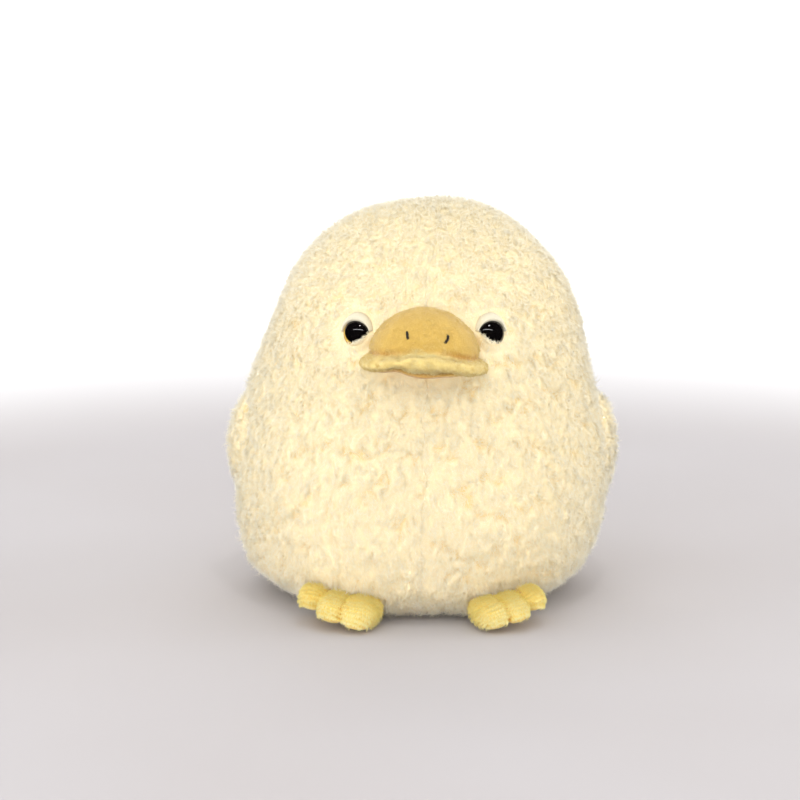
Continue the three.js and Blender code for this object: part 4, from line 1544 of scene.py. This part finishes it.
footForm = {
    "voxel": 0.9 * mm,
    "rounds": 2,
    "pressure": 4,
    "cap": 0.5 * mm,
    "levels": 2,
    "square": 2.8,
    "toeWidth": 1.2,  # of a third of the foot
    "toeStep": 0.92,  # from one toe to the next, of a third of the foot
    "toeReach": 21 * mm,
    "toeSizes": (1.0, 0.9, 0.8),  # from the inner toe to the outer one
    "toesBack": (0.5 * mm, 0, 4 * mm),
    "toesUp": (0, 0, 1.2 * mm),
    "instepRise": 0.62,  # of the toes' height
    "instepReach": 0.6,  # of the foot's length
    "instepWidth": 1.3,
    "spread": {"left": 0.9, "right": 1.0},  # hand-sewn, so no two are quite alike
    "stature": {"left": 0.86, "right": 0.95},
    "rowPitch": 1.6 * mm,
    "rowHeight": 0.18 * mm,
    "rowSlant": (0.7, -0.9),  # rows follow each other ahead and downwards
    "rowSway": 0.2,
    "rowSwaySize": 3 * mm,
    "pale": (0.2, 0.3, 0.6),  # everywhere, on a row and at the tips
    # painted shade in the creases between the toes
    "creaseShade": 0.8,
    "crease": 1.3 * mm,
    "creaseAt": 0.46,  # from the middle, of a third of the foot
    "front": 9 * mm,  # length of the paler tips
    "least": 0.2 * mm,  # height of the sole
    "strands": 11500,
    "length": 1.5 * mm,
    "lengths": (0.7, 1.2),
    "creaseShort": 0.4,
    "topFrom": (-0.75, -0.2),  # no pile on what faces the floor
    "pileFrom": (6 * mm, 11 * mm),  # nor behind that, under the body
    "pileShare": (0.55, 0.45),  # everywhere, and on a row
    "fall": 0.7,
    "lowTo": 6 * mm,
    "lifts": (0.55, 0.4),  # everywhere, and more near the floor
    "loose": 0.25,
    "tints": (0.35, 0.6, 0.4, 0.2, 0.4),  # by chance, at the tips, low, on a row, and less in a crease, as painted shade
    "floor": 0.3 * mm,
    "width": 0.15 * mm,
}
footColours = {
    "shade": srgb(228, 166, 52),
    "plain": srgb(250, 210, 84),
    "root": srgb(246, 196, 66),
    "otherRoot": srgb(255, 224, 112),
    "tip": srgb(255, 228, 108),
    "otherTip": srgb(255, 246, 184),
    "roughness": 0.8,
    "sheen": 0.3,
}
footGroundFinish = velourGround("footVelour", *(footColours[n] for n in ("shade", "plain", "tip")))
footPileFinish = strandFinish("footPile", footColours)


def footBlocks(low, high, third, outward):  # three toes and the instep
    middle, square, tall = (high + low) / 2, footForm["square"], high[2] - low[2]
    blocks = []
    for toe in (-1, 0, 1):
        rank = 1 + int(toe * outward)  # 0 is the inner toe
        half = np.array([third * footForm["toeWidth"], footForm["toeReach"], tall]) / 2
        half[[0, 2]] *= footForm["toeSizes"][rank]
        across = middle[0] + toe * third * footForm["toeStep"]
        ahead = high[1] - footForm["toesBack"][rank] - half[1]
        rise = low[2] + half[2] + footForm["toesUp"][rank]
        blocks.append(roundedBlock("toe", np.array([across, ahead, rise]), half, square, square))
    reach = (high[1] - low[1]) * footForm["instepReach"] / 2
    rise = tall * footForm["instepRise"] / 2
    half = np.array([third * footForm["instepWidth"], reach, rise])
    seat = np.array([middle[0], low[1] + reach, low[2] + rise])
    blocks.append(roundedBlock("instep", seat, half, square, square))
    return blocks


def makeFoot(side):
    joint = joints[f"{side}_foot_droop"]
    heel, lateral = np.array(joint["pos_m"]), unit(np.array(joint["axis"]))
    above = unit(up - lateral * dot(up, lateral))
    ahead = np.cross(lateral, above)
    axes = np.stack([lateral, ahead, above])
    nodes = [f"{side}_{n}" for n in ("foot_upper", "foot_sole", "foot_stuffing")]
    local = (np.concatenate([pointsOf(nodeMesh(n)) for n in nodes]) - heel) @ axes.T
    low, high = local.min(0), local.max(0)
    third = (high[0] - low[0]) / 3 * footForm["spread"][side]
    high[2] = low[2] + (high[2] - low[2]) * footForm["stature"][side]
    blocks = footBlocks(low, high, third, np.sign(lateral[0]) * sides[side])
    mesh = stuffedForm(f"{side}_foot", blocks, footForm)
    flat, normals = pointsOf(mesh), normalsOf(mesh)
    forwards, upwards = footForm["rowSlant"]
    rows = (forwards * flat[:, 1] + upwards * flat[:, 2]) / footForm["rowPitch"]
    rows = rows + footForm["rowSway"] * ripple(flat, footForm["rowSwaySize"], 71)
    ridge = np.cos(2 * math.pi * rows)  # the nap lies in rows across the toes
    flat = flat + normals * (footForm["rowHeight"] * ridge)[:, None]
    points = heel + flat @ axes
    points[:, 2] = np.maximum(points[:, 2], footForm["least"])
    movePoints(mesh, points)
    across = flat[:, 0] - (high[0] + low[0]) / 2
    crease = np.minimum(*(np.abs(across - k * third * footForm["creaseAt"]) for k in (-1, 1)))
    inCrease = hump(crease, 0, footForm["crease"])
    front = ease(high[1] - footForm["front"], high[1], flat[:, 1])
    plain, onRow, atTip = footForm["pale"]
    floatOn(mesh, "band", np.clip(plain + onRow * ridge + atTip * front, 0, 1))
    # painted shade in the creases between the toes
    floatOn(mesh, "fold", footForm["creaseShade"] * inCrease)
    if np.linalg.det(axes) < 0:
        mesh.flip_normals()
    body = f"foot_{side}"
    place(f"{side}_foot_skin", mesh, footGroundFinish, body, nodes)
    growFootPile(side, mesh, ridge, inCrease, front, axes, flat)
    for stitch in ("inner", "outer"):
        sewCrease(f"{side}_{stitch}_toe_stitch", ahead, body, mesh)
    return mesh


def growFootPile(side, mesh, ridge, inCrease, front, axes, flat):
    rng = np.random.default_rng(81 + sides[side])
    onTop = ease(*footForm["topFrom"], normalsOf(mesh)[:, 2])
    ahead = ease(*footForm["pileFrom"], flat[:, 1])
    least, more = footForm["pileShare"]
    samples = Samples(mesh, footForm["strands"], rng, onTop * ahead * (least + more * ridge))
    roots, out = samples.roots, samples.normals
    inner = samples.read(inCrease)
    low = 1 - ease(0, footForm["lowTo"], roots[:, 2])
    length = footForm["length"] * rng.uniform(*footForm["lengths"], len(roots))
    length = length * (1 - footForm["creaseShort"] * inner)
    towards = axes[1] * footForm["fall"] - up * footForm["fall"] + np.zeros_like(roots)
    least, more = footForm["lifts"]
    lift = (least + more * low)[:, None]
    path = bentStrands(roots, out, towards, length, lift, footForm["loose"], rng)
    path = [np.maximum(p, [-1, -1, footForm["floor"]]) for p in path]
    width = footForm["width"] * rng.uniform(*strandForm["widths"], len(roots))
    chance, atTip, near, onRow, creased = footForm["tints"]
    # a crease makes the pile darker: painted shade
    pale = atTip * samples.read(front) + near * low + onRow * samples.read(ridge) - creased * inner
    tint = chance * rng.uniform(size=len(roots)) + pale
    strands = strandMesh(f"{side}_foot_pile", path, width, tint, out)
    place(strands.name, strands, footPileFinish, f"foot_{side}")


def sewCrease(node, ahead, body, mesh):  # the stitch that divides two toes follows the CAD one
    points, tree = pointsOf(nodeMesh(node)), treeOf(mesh)
    order = np.argsort(points @ ahead)
    chunks = np.array_split(points[order], threadForm["toeSteps"])
    path = [tree.find_nearest(chunk.mean(0))[0] for chunk in chunks]
    name, radius = node.replace("stitch", "thread"), threadForm["toe"]
    twist(name, path, radius, yellowThread, body, [node])


footMeshes = [makeFoot(side) for side in sides]
print("feet made")

# base

baseForm = {
    "columns": 260,
    "rows": 70,
    "hole": 0.4 * mm,  # radius of the flat face in the middle
    "thickness": 3 * mm,
    "lowest": 0.05 * mm,
    "strands": 11500,
    "tuftsFull": 3 * mm,  # height over the floor
    "pileFrom": 0.6 * mm,
    "pileFull": 2.5 * mm,
}


def makeBase():  # the underside, its rounded edge in fleece
    along = np.linspace(baseForm["hole"], rim, baseForm["rows"] + 1)
    grid = leaned(bodyPoint(*np.meshgrid(circle(baseForm["columns"]), along)))
    around = np.roll(grid, -1, axis=1) - np.roll(grid, 1, axis=1)
    normals = unit(np.cross(around, np.gradient(grid, axis=0)))
    normals = normals * np.sign(-normals[len(along) // 2, 0, 2])
    high = ease(0, baseForm["tuftsFull"], grid[..., 2])
    rise, loft = woolRise(grid, bodyTufts)
    outer = grid + normals * (rise * high)[..., None]
    outer[..., 2] = np.maximum(outer[..., 2], baseForm["lowest"])
    inner = (grid - normals * baseForm["thickness"])[::-4]
    rings = np.concatenate([outer, inner])
    index, quads = ringGrid(len(rings), baseForm["columns"])
    mesh = turnOutwards(meshFrom("base_skin", rings.reshape(-1, 3), [quads, index[:1], index[-1:]]))
    within = np.zeros(inner[..., 0].size)
    floatOn(mesh, "loft", np.concatenate([loft.ravel(), within + 0.5]))
    place("base_skin", mesh, fleeceSkinFinish, "torso", ["base_panel"])
    share = ease(baseForm["pileFrom"], baseForm["pileFull"], outer[..., 2]).ravel()
    rng = np.random.default_rng(91)
    samples = Samples(mesh, baseForm["strands"], rng, np.concatenate([share, within]))
    hidden = covered(samples.roots, samples.normals, footTree, pile["room"])
    calm = np.where(hidden, 0.0, 1.0)
    hang = overFeet(samples, hidden)
    growWool("base_pile", samples, samples.normals, bodyTufts, calm, pile["length"], "torso", 92, hang=hang)


footTree = treeOf(*footMeshes)
makeBase()
print("base made")

# pile of the body


def opened(mesh, joint):  # the same mesh at the joint's upper limit
    turn = Matrix.Rotation(math.radians(joint["range_deg"][1]), 3, Vector(joint["axis"]))
    seat = np.array(joint["pos_m"])
    moved = mesh.copy()
    movePoints(moved, seat + (pointsOf(mesh) - seat) @ np.array(turn).T)
    return moved


openBillTree = treeOf(opened(lowerBillMesh, joints["lower_bill_open"]))
nearTree = treeOf(billMesh, lowerBillMesh, *eyeMeshes, *lidMeshes, *footMeshes, *looseMeshes.values())


def growBodyPile(node, layer):
    name = node.replace("gore", f"pile_{layer}")
    rng = np.random.default_rng(pile["seed"] + seedOf(name))
    mesh, outside, smooth = skins[node]
    clear = distanceTo(openBillTree, pointsOf(mesh)) > pile["billRoom"]
    samples = Samples(mesh, pile["strands"], rng, (outside & clear).astype(float))
    calm = calmOf(samples.roots)
    hidden = covered(samples.roots, samples.normals, nearTree, pile["room"])
    pressed = distanceTo(openBillTree, samples.roots) < pile["room"]
    calm = np.where(hidden | pressed, 0.0, calm)
    out, hang = samples.read(smooth), overFeet(samples, hidden)
    growWool(name, samples, out, bodyTufts, calm, pile["length"], "torso", 100 + layer, hang=hang)


for node in gores:
    for layer in range(pile["layers"]):
        growBodyPile(node, layer)
print("body pile grown")

# pieces that stay as in CAD, out of sight


def hiddenFinishes():
    fibre = Finish("fibreFill", roughness=0.9)
    wisps = fibre.spots(1.5 * mm, 5, 0.7, (1, 1, 2.5))
    fibre.set(baseColor=fibre.mix(wisps, srgb(226, 226, 222), srgb(250, 250, 248)))
    fibre.bump(wisps, 0.8 * mm)
    cotton = Finish("pouchCotton", roughness=0.9)
    weave = cotton.spots(0.6 * mm, 2, 0.4, (1, 3, 1)) + cotton.spots(0.6 * mm, 2, 0.4, (3, 1, 3))
    cotton.set(baseColor=cotton.mix(weave * 0.5, srgb(208, 198, 176), srgb(238, 230, 212)))
    cotton.bump(weave, 0.2 * mm)
    pellets = Finish("pellets", roughness=0.45)
    grains = pellets.spots(2.5 * mm, 1, 0.3)
    pellets.set(baseColor=pellets.mix(grains, srgb(212, 212, 208), srgb(246, 246, 244)))
    pellets.bump(grains, 1.0 * mm)
    washer = Finish("washerPlastic", roughness=0.4)
    swirl = washer.spots(2 * mm, 2)
    washer.set(baseColor=washer.mix(swirl, srgb(222, 222, 218), srgb(240, 240, 236)))
    washer.set(roughness=swirl * 0.2 + 0.3)
    return {"stuffing": fibre, "pouch": cotton, "fill": pellets, "washer": washer}


hiddenLooks = hiddenFinishes()
for node, piece in frame["nodes"].items():
    for ending, look in hiddenLooks.items():
        if node.endswith(ending):
            piece.data.materials.clear()
            piece.data.materials.append(look.material)

# stage, light and camera

studio = {
    "distance": 1.1,
    "elevation": 11.5,
    "frameWidth": 0.2815,  # of the picture, at the toy
    "aim": (-8 * mm, 0, 67.6 * mm),
    "sensor": 36,  # mm
    "floor": srgb(178, 172, 171),
    "otherFloor": srgb(187, 184, 186),
    "farFloor": srgb(253, 253, 254),
    "fade": (0.25, 0.6),  # the floor is paler far from the toy
    "paper": ((0.02, 0), (0.5, 0), (1, 0), (2, 0), (2.6, 0.1), (2.9, 0.5), (3, 1.4)),  # radius and height
    "paperSides": 96,
    "sky": 1.1,
    "lampDistance": 1.5,
}
lamps = (  # the azimuth runs from the front to +X
    {"name": "key", "power": 4.4, "size": (2, 0.06), "azimuth": -8, "elevation": 40, "mirrored": True},
    {"name": "brow", "power": 2.6, "size": (1.6, 0.4), "azimuth": -8, "elevation": 24},
    {"name": "spark", "power": 2, "size": (0.1, 0.1), "azimuth": 14, "elevation": 68, "mirrored": True},
    {"name": "front", "power": 2.4, "size": (1.2, 0.2), "azimuth": -14, "elevation": 4},
    {
        "name": "belly",
        "power": 0.048,
        "size": (0.4, 0.06),
        "azimuth": -4,
        "elevation": 6,
        "low": 62 * mm,
        "spread": 8,
    },
    {"name": "side", "power": 4.9, "size": (0.8, 0.8), "azimuth": -92, "elevation": 12},
    {"name": "side", "power": 5.5, "size": (0.8, 0.8), "azimuth": 92, "elevation": 12},
    {"name": "rear", "power": 6, "size": (1.2, 0.8), "azimuth": 180, "elevation": 35},
)


def makeCamera():
    lift = math.radians(studio["elevation"])
    back = Vector((0, -math.cos(lift), math.sin(lift)))
    lens = bpy.data.cameras.new("camera")
    lens.sensor_width = studio["sensor"]
    lens.lens = studio["sensor"] * studio["distance"] / studio["frameWidth"]
    camera = bpy.data.objects.new("camera", lens)
    camera.location = Vector(studio["aim"]) + back * studio["distance"]
    camera.rotation_euler = (-back).to_track_quat("-Z", "Y").to_euler()
    bpy.context.scene.collection.objects.link(camera)
    bpy.context.scene.camera = camera


def makeFloor():  # a wide sheet of paper that turns up at its far edge
    look = Finish("floorPaper", roughness=0.9)
    where = look.node("ShaderNodeTexCoord", out="Object")
    far = look.fade(where, *studio["fade"])
    near = look.mix(look.spots(0.2, 2), studio["floor"], studio["otherFloor"])
    look.set(baseColor=look.mix(far, near, studio["farFloor"]))
    radius, height = np.array(studio["paper"]).T[..., None]
    turns = circle(studio["paperSides"])
    points = np.stack([radius * np.cos(turns), radius * np.sin(turns), height + 0 * turns], -1)
    index, quads = ringGrid(len(radius), studio["paperSides"])
    mesh = meshFrom("floor", points.reshape(-1, 3), [turnedOver(quads), index[:1]])
    mesh.materials.append(look.material)
    floor = bpy.data.objects.new("floor", mesh)
    bpy.context.scene.collection.objects.link(floor)
    floor.visible_glossy = False  # the beads mirror the lamps only


def areaLight(name, power, size, azimuth, elevation, mirrored=False, low=0, spread=180):
    turn, lift = math.radians(azimuth), math.radians(elevation)
    towards = Vector((math.cos(lift) * math.sin(turn), -math.cos(lift) * math.cos(turn), math.sin(lift)))
    light = bpy.data.lights.new(name, "AREA")
    light.shape = "RECTANGLE"
    light.energy = power
    light.size, light.size_y = size
    light.spread = math.radians(spread)
    lamp = bpy.data.objects.new(name, light)
    lamp.location = Vector(studio["aim"]) - Vector((0, 0, low)) + towards * studio["lampDistance"]
    lamp.rotation_euler = towards.to_track_quat("Z", "Y").to_euler()
    lamp.visible_glossy = mirrored
    lamp.visible_camera = False
    bpy.context.scene.collection.objects.link(lamp)


def makeLights():
    for lamp in lamps:
        areaLight(**lamp)
    world = bpy.data.worlds.new("studio")
    world.use_nodes = True
    sky = world.node_tree.nodes["Background"].inputs
    sky["Color"].default_value = (1, 1, 1, 1)
    sky["Strength"].default_value = studio["sky"]
    world.cycles_visibility.glossy = False
    bpy.context.scene.world = world
    bpy.context.scene.view_settings.view_transform = "Standard"


makeCamera()
makeFloor()
makeLights()
print("camera, floor and lights set")
